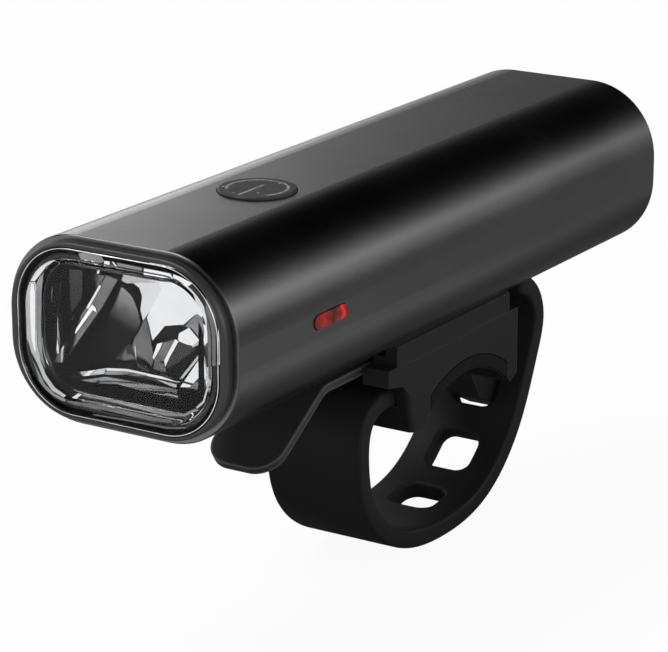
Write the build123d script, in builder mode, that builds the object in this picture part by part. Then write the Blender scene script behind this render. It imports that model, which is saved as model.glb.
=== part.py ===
from build123d import *
import math
import os

os.makedirs("parts", exist_ok=True)

# A bicycle headlight on a quick-release bracket with a rubber strap. Millimetres.
# The origin is on the axis of the handlebar, +Z is up, the light shines towards -Y,
# and X runs along the handlebar.

# Clearances and the overrun of every cut
slide_gap = 0.15          # between the rail and the shoe, and the lever and its slot
deck_gap = 0.05           # between the deck and the shoe that slides over it
seat_gap = 0.1            # round pieces that drop into a pocket
turn_gap = 0.05           # radial, round a pivot pin
swing_gap = 0.35          # round pieces that sweep past others
overrun = 5.0

# Saddle and handlebar
bar_radius = 17.5
pad_thickness = 2.2
saddle_web = 3.7          # from the pad's crown up to the deck
bracket_width = 19.8
saddle_front = 21.0       # reach of the deck, in front of the bar axis
saddle_rear = 14.4
block_height = 2.4        # height of the front block under the deck
block_depth = 3.4
block_taper = 0.6
leg_front = 16.1
leg_shoulder = 1.3        # from the notch behind the block down to the leg's front face
leg_lean = 1.4
leg_drop = 6.3            # height of the front leg's front face
leg_tip_width = 3.4
leg_round = 0.8
rear_tip_width = 1.5
rear_tip_drop = 10.5      # from the deck down to the rear leg's tip
rear_tip_taper = 0.6
rear_tip_round = 0.6
pad_front_reach = 10.0
pad_rear_reach = 11.7
bar_gap = 0.3             # the legs stand this far back from the bar

# T-rail on the bracket's deck and the shoe that slides on it
rail_head_width = 15.8
rail_neck_width = 12.0
rail_head_thickness = 1.0
rail_neck_height = 1.35
rail_front = 4.0          # in front of the bar axis
rail_rear = 11.5
shoe_front = 18.8
shoe_rear = 11.9
shoe_roof = 0.75
shoe_chamfer = 0.5

# Release lever
lever_width = 11.2
lever_pivot_reach = 6.0
lever_pivot_drop = 1.9
knuckle_radius = 1.6
lever_pin_radius = 1.0
arm_thickness = 1.5
tongue_thickness = 1.15
tongue_flat_reach = 30.4
tongue_tip_reach = 43.3
tongue_slope = 33.0       # degrees below level
tongue_corner = 3.9
tongue_bend = 4.0
catch_reach = 17.4
catch_length = 1.4
catch_width = 7.0
catch_height = 1.2
lever_press_angle = 10.0   # degrees, fully pressed
wedge_depth = 0.6
wedge_length = 6.2

# Strap
strap_width = 15.4
strap_thickness = 2.8
strap_reach = 25.3        # centre line, where the strap reaches furthest behind the bar axis
strap_neck_height = 18.0  # centre line, above the bar axis where the strap enters the saddle
strap_neck_reach = 18.6
strap_bulb_radius = 2.0
strap_pin_radius = 1.0
strap_pin_reach = 13.0
strap_tail = 20.85        # from the last hole's centre to the strap's free end
pin_blind = 1.5           # the pins end this far inside the side that shows
strap_hole_width = 6.8
strap_hole_length = 6.8
strap_hole_pitch = 11.65
strap_hole_corner = 1.8
strap_hole_count = 3
strap_round = 0.6

# Rear hook of the bracket
hook_width = 5.8
hook_slit = 0.9           # left open in the strap's hole, under the hook's arm
hook_play = 0.7           # left open above the arm, where the hole's corners are round
hook_root_drop = 5.4      # from the deck down to the hook's root on the rear leg
hook_throat = 3.2         # the arm starts this far inside the strap's inner face
hook_lip_thickness = 1.8
hook_lip_height = 1.9
hook_lip_round = 0.8

# Housing of the light
housing_length = 109.2
housing_width = 34.5
housing_height = 24.4
housing_corner = 10.5
housing_wall = 1.6
housing_front = 67.2      # front end, in front of the bar axis
housing_edge = 0.15

# Bezel, lens and seal
bezel_inset_side = 0.95   # the bezel stands this far inside the housing's sides
bezel_inset_top = 0.71    # and this far inside its top and bottom
bezel_corner_step = 0.9   # the bezel's corner radius is this much less than the housing's
bezel_thickness = 1.3
bezel_round = 0.3
bezel_ring_side = 1.1     # the ring's width beside the lens
bezel_ring_top = 0.67     # the ring's width above and below the lens
lens_corner_step = 1.4    # the lens's corner radius is this much less than the bezel's
spigot_length = 4.0
lens_rim_thickness = 0.7
lens_step = 1.5
lens_window_rise = 0.55
lens_edge_round = 0.25
seal_thickness = 0.3
seal_width = 0.8

# Reflector, shelf, light guide and emitter
reflector_wall = 0.7
reflector_depth = 13.6
reflector_back_width = 10.0
reflector_back_height = 7.0
reflector_mouth_cut = 4.6
reflector_back_cut = 1.6
reflector_set_back = 1.5
shelf_drop = 4.6          # top of the shelf, below the axis of the light
shelf_thickness = 1.1
shelf_set_back = 2.2      # middle of the shelf's front edge, behind the mouth
shelf_sweep = 1.2         # the ends of the front edge lie this much further back
guide_depth = 3.4
guide_set_back = 4.6
guide_rise = 4.4
guide_foot = 2.4
guide_lean = 2.6
led_size = 3.4
led_thickness = 0.8
led_dome_radius = 1.5
led_dome_slope_share = 0.5
led_board_thickness = 1.4
led_board_width = 20.0
led_board_height = 14.0
heat_sink_length = 4.6
heat_fin_width = 1.2
heat_fin_count = 7

# Cell, frame and boards
cell_radius = 9.3
cell_end_room = 44.2      # length of the housing that the cell leaves free
cell_tab_thickness = 0.3
cell_tab_radius = 4.0
cell_edge_round = 0.8
frame_plate_thickness = 1.2
frame_rail_height = 6.0
frame_rail_thickness = 2.0
board_thickness = 1.0
board_width = 20.0
control_board_length = 11.4
control_board_height = 5.4   # above the axis of the light
charge_board_width = 18.0
charge_board_height = 10.0
flex_width = 6.0
flex_thickness = 0.25

# Button and switch
button_radius = 5.2
button_reach = 37.5
button_rise = 0.3
button_flange = 0.6
button_flange_thickness = 0.6
button_round = 0.2
button_travel = 0.4
switch_size = 6.0
switch_body_height = 1.6
plunger_radius = 1.5

# Side window
side_lens_length = 7.5
side_lens_height = 1.8
side_lens_reach = 47.0
side_lens_rise = 0.15
side_lens_lift = 0.45     # above the axis of the light
side_lens_flange = 0.6
side_flange_thickness = 0.7
side_led_depth = 2.2
side_led_size = 1.6
side_led_board = 0.8

# Rear end
cap_thickness = 3.4
cap_screw_radius = 1.0
cap_screw_head_radius = 1.9
cap_screw_head_height = 1.0
cap_screw_length = 6.4
cap_screw_spread = 11.6
cap_boss_radius = 2.0
seal_ring_width = 1.0
seal_ring_depth = 0.7
usb_width = 8.9
usb_height = 3.2
usb_wall = 0.3
usb_corner = 1.2
usb_tongue_width = 6.6
usb_tongue_set_back = 1.4
usb_tongue_thickness = 0.7
cover_width = 13.4
cover_height = 7.4
cover_thickness = 1.4
cover_corner = 1.6
cover_barrel_radius = 0.7
cover_plug_depth = 0.8
cover_plug_gap = 0.35
nail_notch_width = 6.0
nail_notch_height = 1.3
shoe_screw_radius = 1.0
shoe_screw_head_radius = 1.7
shoe_screw_head_height = 0.5
shoe_screw_length = 2.2
shoe_screw_front = 1.5
shoe_screw_rear = 8.5

# Heights and places worked out from the sizes above
pad_radius = bar_radius + pad_thickness
deck_height = pad_radius + saddle_web
head_bottom = deck_height + rail_neck_height
head_top = head_bottom + rail_head_thickness
shoe_bottom = deck_height + deck_gap
shoe_cavity_bottom = head_bottom - slide_gap
shoe_cavity_top = head_top + slide_gap
body_bottom = shoe_cavity_top + shoe_roof
body_axis_height = body_bottom + housing_height / 2
body_top = body_bottom + housing_height
front_face = -housing_front
rear_face = housing_length - housing_front
inner_width = housing_width - 2 * housing_wall
inner_height = housing_height - 2 * housing_wall
inner_corner = housing_corner - housing_wall
cell_length = housing_length - cell_end_room
bezel_width = housing_width - 2 * bezel_inset_side
bezel_height = housing_height - 2 * bezel_inset_top
bezel_corner = housing_corner - bezel_corner_step
lens_rim_width = bezel_width - 2 * bezel_ring_side
lens_rim_height = bezel_height - 2 * bezel_ring_top
lens_corner = bezel_corner - lens_corner_step


def body_plane(y, height=body_axis_height, x=0):
    """A plane across the light: local x is +X, local y is +Z, and its normal faces forward."""
    return Plane(origin=(x, y, height), x_dir=(1, 0, 0), z_dir=(0, -1, 0))


def level_plane(height):
    """A level plane at a height above the bar axis."""
    return Plane.XY.offset(height)


def save(part, name):
    """Label one finished piece and write it."""
    part.label = name
    export_step(part, "parts/" + name + ".step")


# Housing: an extruded shell, with openings for the button, the side window and the shoe's screws
button_hole_radius = button_radius + seat_gap
screw_places = [(0, shoe_screw_front), (0, shoe_screw_rear)]
side_lens_height_at = body_axis_height + side_lens_lift

with BuildPart() as housing:
    with BuildSketch(body_plane(front_face)):
        RectangleRounded(housing_width, housing_height, housing_corner)
    extrude(amount=-housing_length)
    chamfer(housing.edges().group_by(Axis.Y)[0], housing_edge)
    with BuildSketch(body_plane(front_face - overrun)):
        RectangleRounded(inner_width, inner_height, inner_corner)
    extrude(amount=-(housing_length + 2 * overrun), mode=Mode.SUBTRACT)
    with BuildSketch(level_plane(body_top + overrun)):
        with Locations((0, -button_reach)):
            Circle(button_hole_radius)
    extrude(amount=-(overrun + 2 * housing_wall), mode=Mode.SUBTRACT)
    with BuildSketch(Plane.YZ.offset(housing_width / 2 + overrun)):
        with Locations((-side_lens_reach, side_lens_height_at)):
            SlotOverall(side_lens_length + 2 * seat_gap, side_lens_height + 2 * seat_gap)
    extrude(amount=-(overrun + 2 * housing_wall), mode=Mode.SUBTRACT)
    with BuildSketch(level_plane(body_bottom - overrun)):
        with Locations(*screw_places):
            Circle(shoe_screw_radius)
    extrude(amount=overrun + 2 * housing_wall, mode=Mode.SUBTRACT)
save(housing.part, "housing")

# Bezel: front ring with a pocket for the lens and a spigot that enters the housing
bezel_front = front_face - bezel_thickness
lens_pocket_depth = seal_thickness + lens_rim_thickness
window_width = lens_rim_width - 2 * lens_step
window_height = lens_rim_height - 2 * lens_step
window_corner = lens_corner - lens_step

with BuildPart() as bezel:
    with BuildSketch(body_plane(front_face)):
        RectangleRounded(bezel_width, bezel_height, bezel_corner)
    extrude(amount=bezel_thickness)
    fillet(bezel.edges().group_by(Axis.Y)[0], bezel_round)
    with BuildSketch(body_plane(front_face)):
        RectangleRounded(inner_width - 2 * seat_gap, inner_height - 2 * seat_gap, inner_corner - seat_gap)
    extrude(amount=-spigot_length)
    with BuildSketch(body_plane(bezel_front)):
        RectangleRounded(
            lens_rim_width + 2 * seat_gap, lens_rim_height + 2 * seat_gap, lens_corner + seat_gap
        )
    extrude(amount=-lens_pocket_depth, mode=Mode.SUBTRACT)
    with BuildSketch(body_plane(bezel_front)):
        RectangleRounded(window_width, window_height, window_corner)
    extrude(amount=-(bezel_thickness + spigot_length + overrun), mode=Mode.SUBTRACT)
save(bezel.part, "bezel")

# Lens seal: a flat ring on the floor of the bezel's pocket
lens_back = bezel_front + lens_rim_thickness
with BuildPart() as lens_seal:
    with BuildSketch(body_plane(lens_back)):
        RectangleRounded(lens_rim_width, lens_rim_height, lens_corner)
        RectangleRounded(
            lens_rim_width - 2 * seal_width,
            lens_rim_height - 2 * seal_width,
            lens_corner - seal_width,
            mode=Mode.SUBTRACT,
        )
    extrude(amount=-seal_thickness)
save(lens_seal.part, "lens_seal")

# Front lens: rim with a raised window
with BuildPart() as front_lens:
    with BuildSketch(body_plane(lens_back)):
        RectangleRounded(lens_rim_width, lens_rim_height, lens_corner)
    extrude(amount=lens_rim_thickness)
    with BuildSketch(body_plane(bezel_front)):
        RectangleRounded(window_width, window_height, window_corner)
    extrude(amount=lens_window_rise)
    fillet(front_lens.edges().group_by(Axis.Y)[0], lens_edge_round)
save(front_lens.part, "front_lens")

# Reflector: a block with a bowl of flat facets
reflector_front = front_face + reflector_set_back
reflector_back = reflector_front + reflector_depth
reflector_width = window_width - 2 * seat_gap
reflector_height = window_height - 2 * seat_gap
mouth_width = reflector_width - 2 * reflector_wall
mouth_height = reflector_height - 2 * reflector_wall


def cut_rectangle(width, height, cut):
    """The eight corners of a rectangle with its corners cut off."""
    x, y = width / 2, height / 2
    return [
        (x, y - cut),
        (x - cut, y),
        (cut - x, y),
        (-x, y - cut),
        (-x, cut - y),
        (cut - x, -y),
        (x - cut, -y),
        (x, cut - y),
    ]


# The shelf reaches back to where it meets the sloping floor of the bowl
shelf_top = body_axis_height - shelf_drop
bowl_depth = reflector_depth - reflector_wall
floor_rise = (mouth_height - reflector_back_height) / 2
shelf_back = bowl_depth * (mouth_height / 2 - shelf_drop) / floor_rise
shelf_half = mouth_width / 2 - reflector_mouth_cut * (1 - shelf_back / bowl_depth)
shelf_edge_shares = [(-1, 1), (-0.35, 0), (0.35, 0), (1, 1)]
guide_shoulder_share = 0.7

with BuildPart() as reflector:
    with BuildSketch(body_plane(reflector_front)):
        RectangleRounded(reflector_width, reflector_height, window_corner)
    extrude(amount=-reflector_depth)
    with BuildSketch(body_plane(reflector_front)):
        Polygon(*cut_rectangle(mouth_width, mouth_height, reflector_mouth_cut), align=None)
    with BuildSketch(body_plane(reflector_back - reflector_wall)):
        Polygon(
            *cut_rectangle(reflector_back_width, reflector_back_height, reflector_back_cut), align=None
        )
    loft(ruled=True, mode=Mode.SUBTRACT)
    with BuildSketch(body_plane(reflector_back)):
        Rectangle(led_size + 2 * seat_gap, led_size + 2 * seat_gap)
    extrude(amount=2 * reflector_wall, mode=Mode.SUBTRACT)
    with BuildSketch(Plane(origin=(0, reflector_front, shelf_top))):
        Polygon(
            *[(x * shelf_half, shelf_set_back + back * shelf_sweep) for x, back in shelf_edge_shares],
            (shelf_half, shelf_back),
            (-shelf_half, shelf_back),
            align=None,
        )
    extrude(amount=-shelf_thickness)
save(reflector.part, "reflector")

# Light guide: a clear leaning prism that stands on the shelf beside the emitter
with BuildPart() as light_guide:
    with BuildSketch(body_plane(reflector_front + guide_set_back, height=shelf_top)):
        Polygon(
            (guide_foot, 0),
            (2 * guide_foot, 0),
            (2 * guide_foot + guide_lean, guide_rise * guide_shoulder_share),
            (2 * guide_foot + guide_lean * guide_shoulder_share, guide_rise),
            align=None,
        )
    extrude(amount=-guide_depth)
save(light_guide.part, "light_guide")

# Heat sink, led board and emitter behind the reflector
led_board_front = reflector_back
heat_sink_front = led_board_front + led_board_thickness
heat_sink_back = heat_sink_front + heat_sink_length

with BuildPart() as led_board:
    with BuildSketch(body_plane(led_board_front)):
        Rectangle(led_board_width, led_board_height)
    extrude(amount=-led_board_thickness)
save(led_board.part, "led_board")

with BuildPart() as led_emitter:
    with BuildSketch(body_plane(led_board_front)):
        Rectangle(led_size, led_size)
    extrude(amount=led_thickness)
    with BuildSketch(body_plane(led_board_front - led_thickness)):
        Circle(led_dome_radius)
    extrude(amount=led_dome_radius, taper=math.degrees(math.atan(led_dome_slope_share)))
save(led_emitter.part, "led_emitter")

side_flange_back = inner_width / 2 - side_flange_thickness
side_pocket_face = side_flange_back - side_led_depth
side_pocket_length = side_lens_length + 2 * side_lens_flange + 2 * swing_gap
fin_pitch = (inner_width - 2 * inner_corner) / (heat_fin_count - 1)
with BuildPart() as heat_sink:
    with BuildSketch(body_plane(heat_sink_front)):
        RectangleRounded(inner_width - 2 * seat_gap, inner_height - 2 * seat_gap, inner_corner - seat_gap)
    extrude(amount=-heat_sink_length)
    with BuildSketch(body_plane(heat_sink_back)):
        with GridLocations(fin_pitch, 0, heat_fin_count, 1):
            Rectangle(fin_pitch - heat_fin_width, inner_height / 2)
    extrude(amount=heat_sink_length / 2, mode=Mode.SUBTRACT)
    with BuildSketch(Plane.YZ.offset(side_pocket_face)):
        with Locations((-side_lens_reach, side_lens_height_at)):
            Rectangle(side_pocket_length, side_lens_height + 2 * swing_gap)
    extrude(amount=housing_width, mode=Mode.SUBTRACT)
save(heat_sink.part, "heat_sink")

# Cell with its tabs, from the control board rearwards
board_front = heat_sink_back + swing_gap
board_back = board_front + control_board_length
front_plate_face = board_back
cell_front = front_plate_face + frame_plate_thickness + cell_tab_thickness
cell_back = cell_front + cell_length
rear_plate_face = cell_back + cell_tab_thickness
charge_board_face = rear_plate_face + frame_plate_thickness

with BuildPart() as battery_cell:
    with BuildSketch(body_plane(cell_front)):
        Circle(cell_radius)
    extrude(amount=-cell_length)
    fillet(battery_cell.edges().filter_by(GeomType.CIRCLE), cell_edge_round)
save(battery_cell.part, "battery_cell")

with BuildPart() as cell_tabs:
    for tab_face in (cell_front - cell_tab_thickness, cell_back):
        with BuildSketch(body_plane(tab_face)):
            Circle(cell_tab_radius)
        extrude(amount=-cell_tab_thickness)
save(cell_tabs.part, "cell_tabs")

# Places that the frame, the boards, the button and the rear cap share
board_bottom = body_axis_height + control_board_height
board_top = board_bottom + board_thickness
flange_top = body_top - housing_wall - seat_gap
flange_bottom = flange_top - button_flange_thickness
pressed_flange = flange_bottom - button_travel
charge_board_back = charge_board_face + board_thickness
cap_front = rear_face - cap_thickness
cover_floor = rear_face - cover_thickness - seat_gap
flex_bottom = body_bottom + housing_wall + seat_gap
flex_room = 2 * seat_gap + flex_thickness
flex_front = front_plate_face - seat_gap - flex_thickness / 2

# Inner frame: two plates joined by rails beside the cell, with a shelf for the control board
rail_place = cell_radius + seat_gap + frame_rail_thickness / 2
with BuildPart() as inner_frame:
    for plate_face in (front_plate_face, rear_plate_face):
        with BuildSketch(body_plane(plate_face)):
            RectangleRounded(inner_width - 2 * seat_gap, inner_height - 2 * seat_gap, inner_corner - seat_gap)
        extrude(amount=-frame_plate_thickness)
    with BuildSketch(body_plane(front_plate_face)):
        with Locations((-rail_place, 0), (rail_place, 0)):
            Rectangle(frame_rail_thickness, frame_rail_height)
    extrude(amount=-(rear_plate_face - front_plate_face))
    with BuildSketch(body_plane(front_plate_face)):
        with Locations((0, control_board_height - frame_plate_thickness / 2)):
            Rectangle(board_width, frame_plate_thickness)
    extrude(amount=control_board_length)
    with BuildSketch(body_plane(charge_board_face)):
        with Locations((-cap_screw_spread, 0), (cap_screw_spread, 0)):
            Circle(cap_boss_radius)
            Circle(cap_screw_radius, mode=Mode.SUBTRACT)
    extrude(amount=-(cap_front - charge_board_face))
    with BuildSketch(body_plane(front_plate_face - overrun)):
        with Locations((0, -inner_height / 2)):
            Rectangle(flex_width + 2 * seat_gap, 2 * flex_room)
    extrude(amount=-(charge_board_face - front_plate_face + overrun), mode=Mode.SUBTRACT)
    with BuildSketch(level_plane(board_bottom)):
        with Locations((0, flex_front)):
            Rectangle(flex_width + 2 * seat_gap, flex_thickness + 2 * seat_gap)
    extrude(amount=-2 * frame_plate_thickness, mode=Mode.SUBTRACT)
    with BuildSketch(level_plane(pressed_flange - swing_gap)):
        with Locations((0, -button_reach)):
            Circle(button_radius + button_flange + swing_gap)
    extrude(amount=inner_height, mode=Mode.SUBTRACT)
save(inner_frame.part, "inner_frame")

# Control board on the shelf, with the switch under the button
with BuildPart() as control_board:
    with BuildSketch(level_plane(board_bottom)):
        with Locations((0, (board_front + board_back) / 2)):
            Rectangle(board_width, control_board_length)
    extrude(amount=board_thickness)
save(control_board.part, "control_board")

plunger_top = pressed_flange - seat_gap
with BuildPart() as tact_switch:
    with BuildSketch(level_plane(board_top)):
        with Locations((0, -button_reach)):
            Rectangle(switch_size, switch_size)
    extrude(amount=switch_body_height)
    with BuildSketch(level_plane(board_top)):
        with Locations((0, -button_reach)):
            Circle(plunger_radius)
    extrude(amount=plunger_top - board_top)
save(tact_switch.part, "tact_switch")

with BuildPart() as power_button:
    with BuildSketch(level_plane(flange_bottom)):
        with Locations((0, -button_reach)):
            Circle(button_radius + button_flange)
    extrude(amount=button_flange_thickness)
    with BuildSketch(level_plane(flange_bottom)):
        with Locations((0, -button_reach)):
            Circle(button_radius)
    extrude(amount=body_top + button_rise - flange_bottom)
    fillet(power_button.edges().group_by(Axis.Z)[-1], button_round)
save(power_button.part, "power_button")

# Red side window with a flange behind the wall, and the chip that lights it
side_face = housing_width / 2
flange_face = side_face - housing_wall
with BuildPart() as side_lens:
    with BuildSketch(Plane.YZ.offset(flange_face)):
        with Locations((-side_lens_reach, side_lens_height_at)):
            SlotOverall(side_lens_length, side_lens_height)
    extrude(amount=housing_wall + side_lens_rise)
    with BuildSketch(Plane.YZ.offset(flange_face)):
        with Locations((-side_lens_reach, side_lens_height_at)):
            SlotOverall(side_lens_length + 2 * side_lens_flange, side_lens_height)
    extrude(amount=-side_flange_thickness)
save(side_lens.part, "side_lens")

with BuildPart() as side_led:
    with BuildSketch(Plane.YZ.offset(side_pocket_face)):
        with Locations((-side_lens_reach, side_lens_height_at)):
            Rectangle(side_lens_length, side_lens_height)
    extrude(amount=side_led_board)
    with BuildSketch(Plane.YZ.offset(side_pocket_face)):
        with Locations((-side_lens_reach, side_lens_height_at)):
            Rectangle(side_led_size, side_led_size)
    extrude(amount=side_led_depth - seat_gap)
save(side_led.part, "side_led")

# Charge board and socket at the rear, and the flat cable to the control board
with BuildPart() as charge_board:
    with BuildSketch(body_plane(charge_board_face)):
        Rectangle(charge_board_width, charge_board_height)
    extrude(amount=-board_thickness)
save(charge_board.part, "charge_board")

usb_length = cover_floor - charge_board_back
with BuildPart() as usb_socket:
    with BuildSketch(body_plane(charge_board_back)):
        RectangleRounded(usb_width, usb_height, usb_corner)
    extrude(amount=-usb_length)
    with BuildSketch(body_plane(charge_board_back + usb_wall)):
        RectangleRounded(usb_width - 2 * usb_wall, usb_height - 2 * usb_wall, usb_corner - usb_wall)
    extrude(amount=-usb_length, mode=Mode.SUBTRACT)
    with BuildSketch(body_plane(charge_board_back)):
        Rectangle(usb_tongue_width, usb_tongue_thickness)
    extrude(amount=-(usb_length - usb_tongue_set_back))
save(usb_socket.part, "usb_socket")

flex_rear = charge_board_back + flex_thickness / 2
flex_rear_top = body_axis_height - charge_board_height / 4
with BuildPart() as link_flex:
    with BuildSketch(Plane.YZ):
        with BuildLine():
            Polyline(
                (flex_front - flex_thickness / 2, board_bottom),
                (flex_front - flex_thickness / 2, flex_bottom),
                (flex_rear + flex_thickness / 2, flex_bottom),
                (flex_rear + flex_thickness / 2, flex_rear_top),
                (flex_rear - flex_thickness / 2, flex_rear_top),
                (flex_rear - flex_thickness / 2, flex_bottom + flex_thickness),
                (flex_front + flex_thickness / 2, flex_bottom + flex_thickness),
                (flex_front + flex_thickness / 2, board_bottom),
                close=True,
            )
        make_face()
    extrude(amount=flex_width / 2, both=True)
save(link_flex.part, "link_flex")

# Rear cap with a groove for its seal and a recess for the rubber cover
cap_width = inner_width - 2 * seat_gap
cap_height = inner_height - 2 * seat_gap
cap_corner = inner_corner - seat_gap
seal_front = cap_front + (cap_thickness - cover_thickness - seal_ring_width) / 2
with BuildPart() as rear_cap:
    with BuildSketch(body_plane(cap_front)):
        RectangleRounded(cap_width, cap_height, cap_corner)
    extrude(amount=-cap_thickness)
    with BuildSketch(body_plane(seal_front)):
        RectangleRounded(housing_width, housing_height, housing_corner)
        RectangleRounded(
            cap_width - 2 * seal_ring_depth,
            cap_height - 2 * seal_ring_depth,
            cap_corner - seal_ring_depth,
            mode=Mode.SUBTRACT,
        )
    extrude(amount=-seal_ring_width, mode=Mode.SUBTRACT)
    with BuildSketch(body_plane(cover_floor)):
        RectangleRounded(cover_width + 2 * slide_gap, cover_height + 2 * slide_gap, cover_corner)
        Rectangle(cover_width + 2 * slide_gap, cover_height / 2 + slide_gap, align=(Align.CENTER, Align.MAX))
        with Locations((0, cover_height / 2)):
            Rectangle(nail_notch_width, 2 * nail_notch_height)
    extrude(amount=-(cover_thickness + overrun), mode=Mode.SUBTRACT)
    with BuildSketch(body_plane(cap_front - overrun)):
        RectangleRounded(usb_width + 2 * seat_gap, usb_height + 2 * seat_gap, usb_corner)
    extrude(amount=-(cap_thickness + 2 * overrun), mode=Mode.SUBTRACT)
    with BuildSketch(body_plane(cap_front - overrun)):
        with Locations((-cap_screw_spread, 0), (cap_screw_spread, 0)):
            Circle(cap_screw_radius)
    extrude(amount=-(cap_thickness + 2 * overrun), mode=Mode.SUBTRACT)
    with BuildSketch(body_plane(rear_face - cap_screw_head_height)):
        with Locations((-cap_screw_spread, 0), (cap_screw_spread, 0)):
            Circle(cap_screw_head_radius)
    extrude(amount=-overrun, mode=Mode.SUBTRACT)
save(rear_cap.part, "rear_cap")

with BuildPart() as cap_seal:
    with BuildSketch(body_plane(seal_front)):
        RectangleRounded(inner_width, inner_height, inner_corner)
        RectangleRounded(
            cap_width - 2 * seal_ring_depth,
            cap_height - 2 * seal_ring_depth,
            cap_corner - seal_ring_depth,
            mode=Mode.SUBTRACT,
        )
    extrude(amount=-seal_ring_width)
save(cap_seal.part, "cap_seal")

with BuildPart() as cap_screws:
    with BuildSketch(body_plane(rear_face)):
        with Locations((-cap_screw_spread, 0), (cap_screw_spread, 0)):
            Circle(cap_screw_head_radius)
    extrude(amount=cap_screw_head_height)
    with BuildSketch(body_plane(rear_face)):
        with Locations((-cap_screw_spread, 0), (cap_screw_spread, 0)):
            Circle(cap_screw_radius)
    extrude(amount=cap_screw_length)
save(cap_screws.part, "cap_screws")

# Rubber cover: a flap with a round lower edge that it turns on, and a plug for the socket
cover_pivot_y = rear_face - cover_barrel_radius
cover_pivot_z = body_axis_height - cover_height / 2 + cover_barrel_radius
plug_width = usb_width - 2 * usb_wall - 2 * cover_plug_gap
plug_height = usb_height - 2 * usb_wall - 2 * cover_plug_gap
with BuildPart() as usb_cover:
    with BuildSketch(Plane.YZ):
        with Locations((cover_pivot_y, cover_pivot_z)):
            Circle(cover_barrel_radius)
            Rectangle(
                2 * cover_barrel_radius,
                cover_height - cover_barrel_radius,
                align=(Align.CENTER, Align.MIN),
            )
    extrude(amount=cover_width / 2, both=True)
    fillet(usb_cover.faces().sort_by(Axis.Z)[-1].edges().filter_by(Axis.Y), cover_corner)
    with BuildSketch(body_plane(rear_face - 2 * cover_barrel_radius)):
        Rectangle(plug_width, plug_height)
    extrude(amount=cover_plug_depth)
save(usb_cover.part, "usb_cover")

# Shoe under the light: a channel with two lips, and a wedge that the catch rides down
catch_back = -(catch_reach - catch_length)
catch_top = deck_height + catch_height
mouth_half = rail_neck_width / 2 + slide_gap
cavity_half = rail_head_width / 2 + slide_gap
with BuildPart() as rail_shoe:
    with BuildSketch(body_plane(-shoe_front, height=shoe_bottom)):
        Rectangle(bracket_width, body_bottom - shoe_bottom, align=(Align.CENTER, Align.MIN))
    extrude(amount=-(shoe_front + shoe_rear))
    chamfer(
        rail_shoe.faces().sort_by(Axis.Z)[-1].edges().filter_by(Axis.Y), shoe_chamfer
    )
    with BuildSketch(body_plane(-shoe_front - overrun, height=shoe_bottom - overrun)):
        Rectangle(2 * mouth_half, shoe_cavity_top - shoe_bottom + overrun, align=(Align.CENTER, Align.MIN))
    extrude(amount=-(shoe_front + shoe_rear + 2 * overrun), mode=Mode.SUBTRACT)
    with BuildSketch(body_plane(-shoe_front - overrun, height=shoe_cavity_bottom)):
        Rectangle(2 * cavity_half, shoe_cavity_top - shoe_cavity_bottom, align=(Align.CENTER, Align.MIN))
    extrude(amount=-(shoe_front + shoe_rear + 2 * overrun), mode=Mode.SUBTRACT)
    with BuildSketch(Plane.YZ):
        Polygon(
            (catch_back, shoe_cavity_top),
            (catch_back, catch_top + slide_gap),
            (catch_back + wedge_length, catch_top + slide_gap - wedge_depth),
            (catch_back + wedge_length, shoe_cavity_top),
            align=None,
        )
    extrude(amount=catch_width / 2 + slide_gap, both=True)
    with BuildSketch(level_plane(shoe_cavity_top)):
        with Locations(*screw_places):
            Circle(shoe_screw_head_radius)
    extrude(amount=shoe_screw_head_height, mode=Mode.SUBTRACT)
    with BuildSketch(level_plane(shoe_cavity_top)):
        with Locations(*screw_places):
            Circle(shoe_screw_radius)
    extrude(amount=shoe_roof, mode=Mode.SUBTRACT)
save(rail_shoe.part, "rail_shoe")

with BuildPart() as shoe_screws:
    with BuildSketch(level_plane(shoe_cavity_top)):
        with Locations(*screw_places):
            Circle(shoe_screw_head_radius)
    extrude(amount=shoe_screw_head_height)
    with BuildSketch(level_plane(shoe_cavity_top)):
        with Locations(*screw_places):
            Circle(shoe_screw_radius)
    extrude(amount=shoe_screw_length)
save(shoe_screws.part, "shoe_screws")

# Strap: a smooth centre line from the saddle's front, under the bar and up to the hook
strap_loop_shares = [
    (-0.887, 0.877),
    (-0.927, 0.562),
    (-0.854, 0.171),
    (-0.554, -0.184),
    (-0.064, -0.311),
    (0.395, -0.197),
    (0.731, 0.200),
    (0.941, 0.762),
    (1.000, 1.067),
    (0.958, 1.223),
    (0.842, 1.361),
    (0.770, 1.388),
]
loop_points = [(y * strap_reach, z * strap_neck_height) for y, z in strap_loop_shares]
neck_start = (-strap_neck_reach, strap_neck_height)
bulb_centre = (-strap_pin_reach, strap_neck_height)
strap_path = Spline(neck_start, *loop_points)
hole_places = [
    (strap_path.length - strap_tail - number * strap_hole_pitch) / strap_path.length
    for number in range(strap_hole_count)
]


def strap_hole_plane(place):
    """The plane of one hole: it lies along the strap, with its normal out of the loop."""
    point = strap_path.position_at(place)
    tangent = strap_path.tangent_at(place)
    return Plane(origin=(0, point.X, point.Y), x_dir=(1, 0, 0), z_dir=(0, tangent.Y, -tangent.X))


def beside_strap(place, along, outward):
    """A point of the side view, given from the strap's centre line at a place."""
    point = strap_path.position_at(place)
    tangent = strap_path.tangent_at(place)
    return (
        point.X + along * tangent.X + outward * tangent.Y,
        point.Y + along * tangent.Y - outward * tangent.X,
    )


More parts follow.
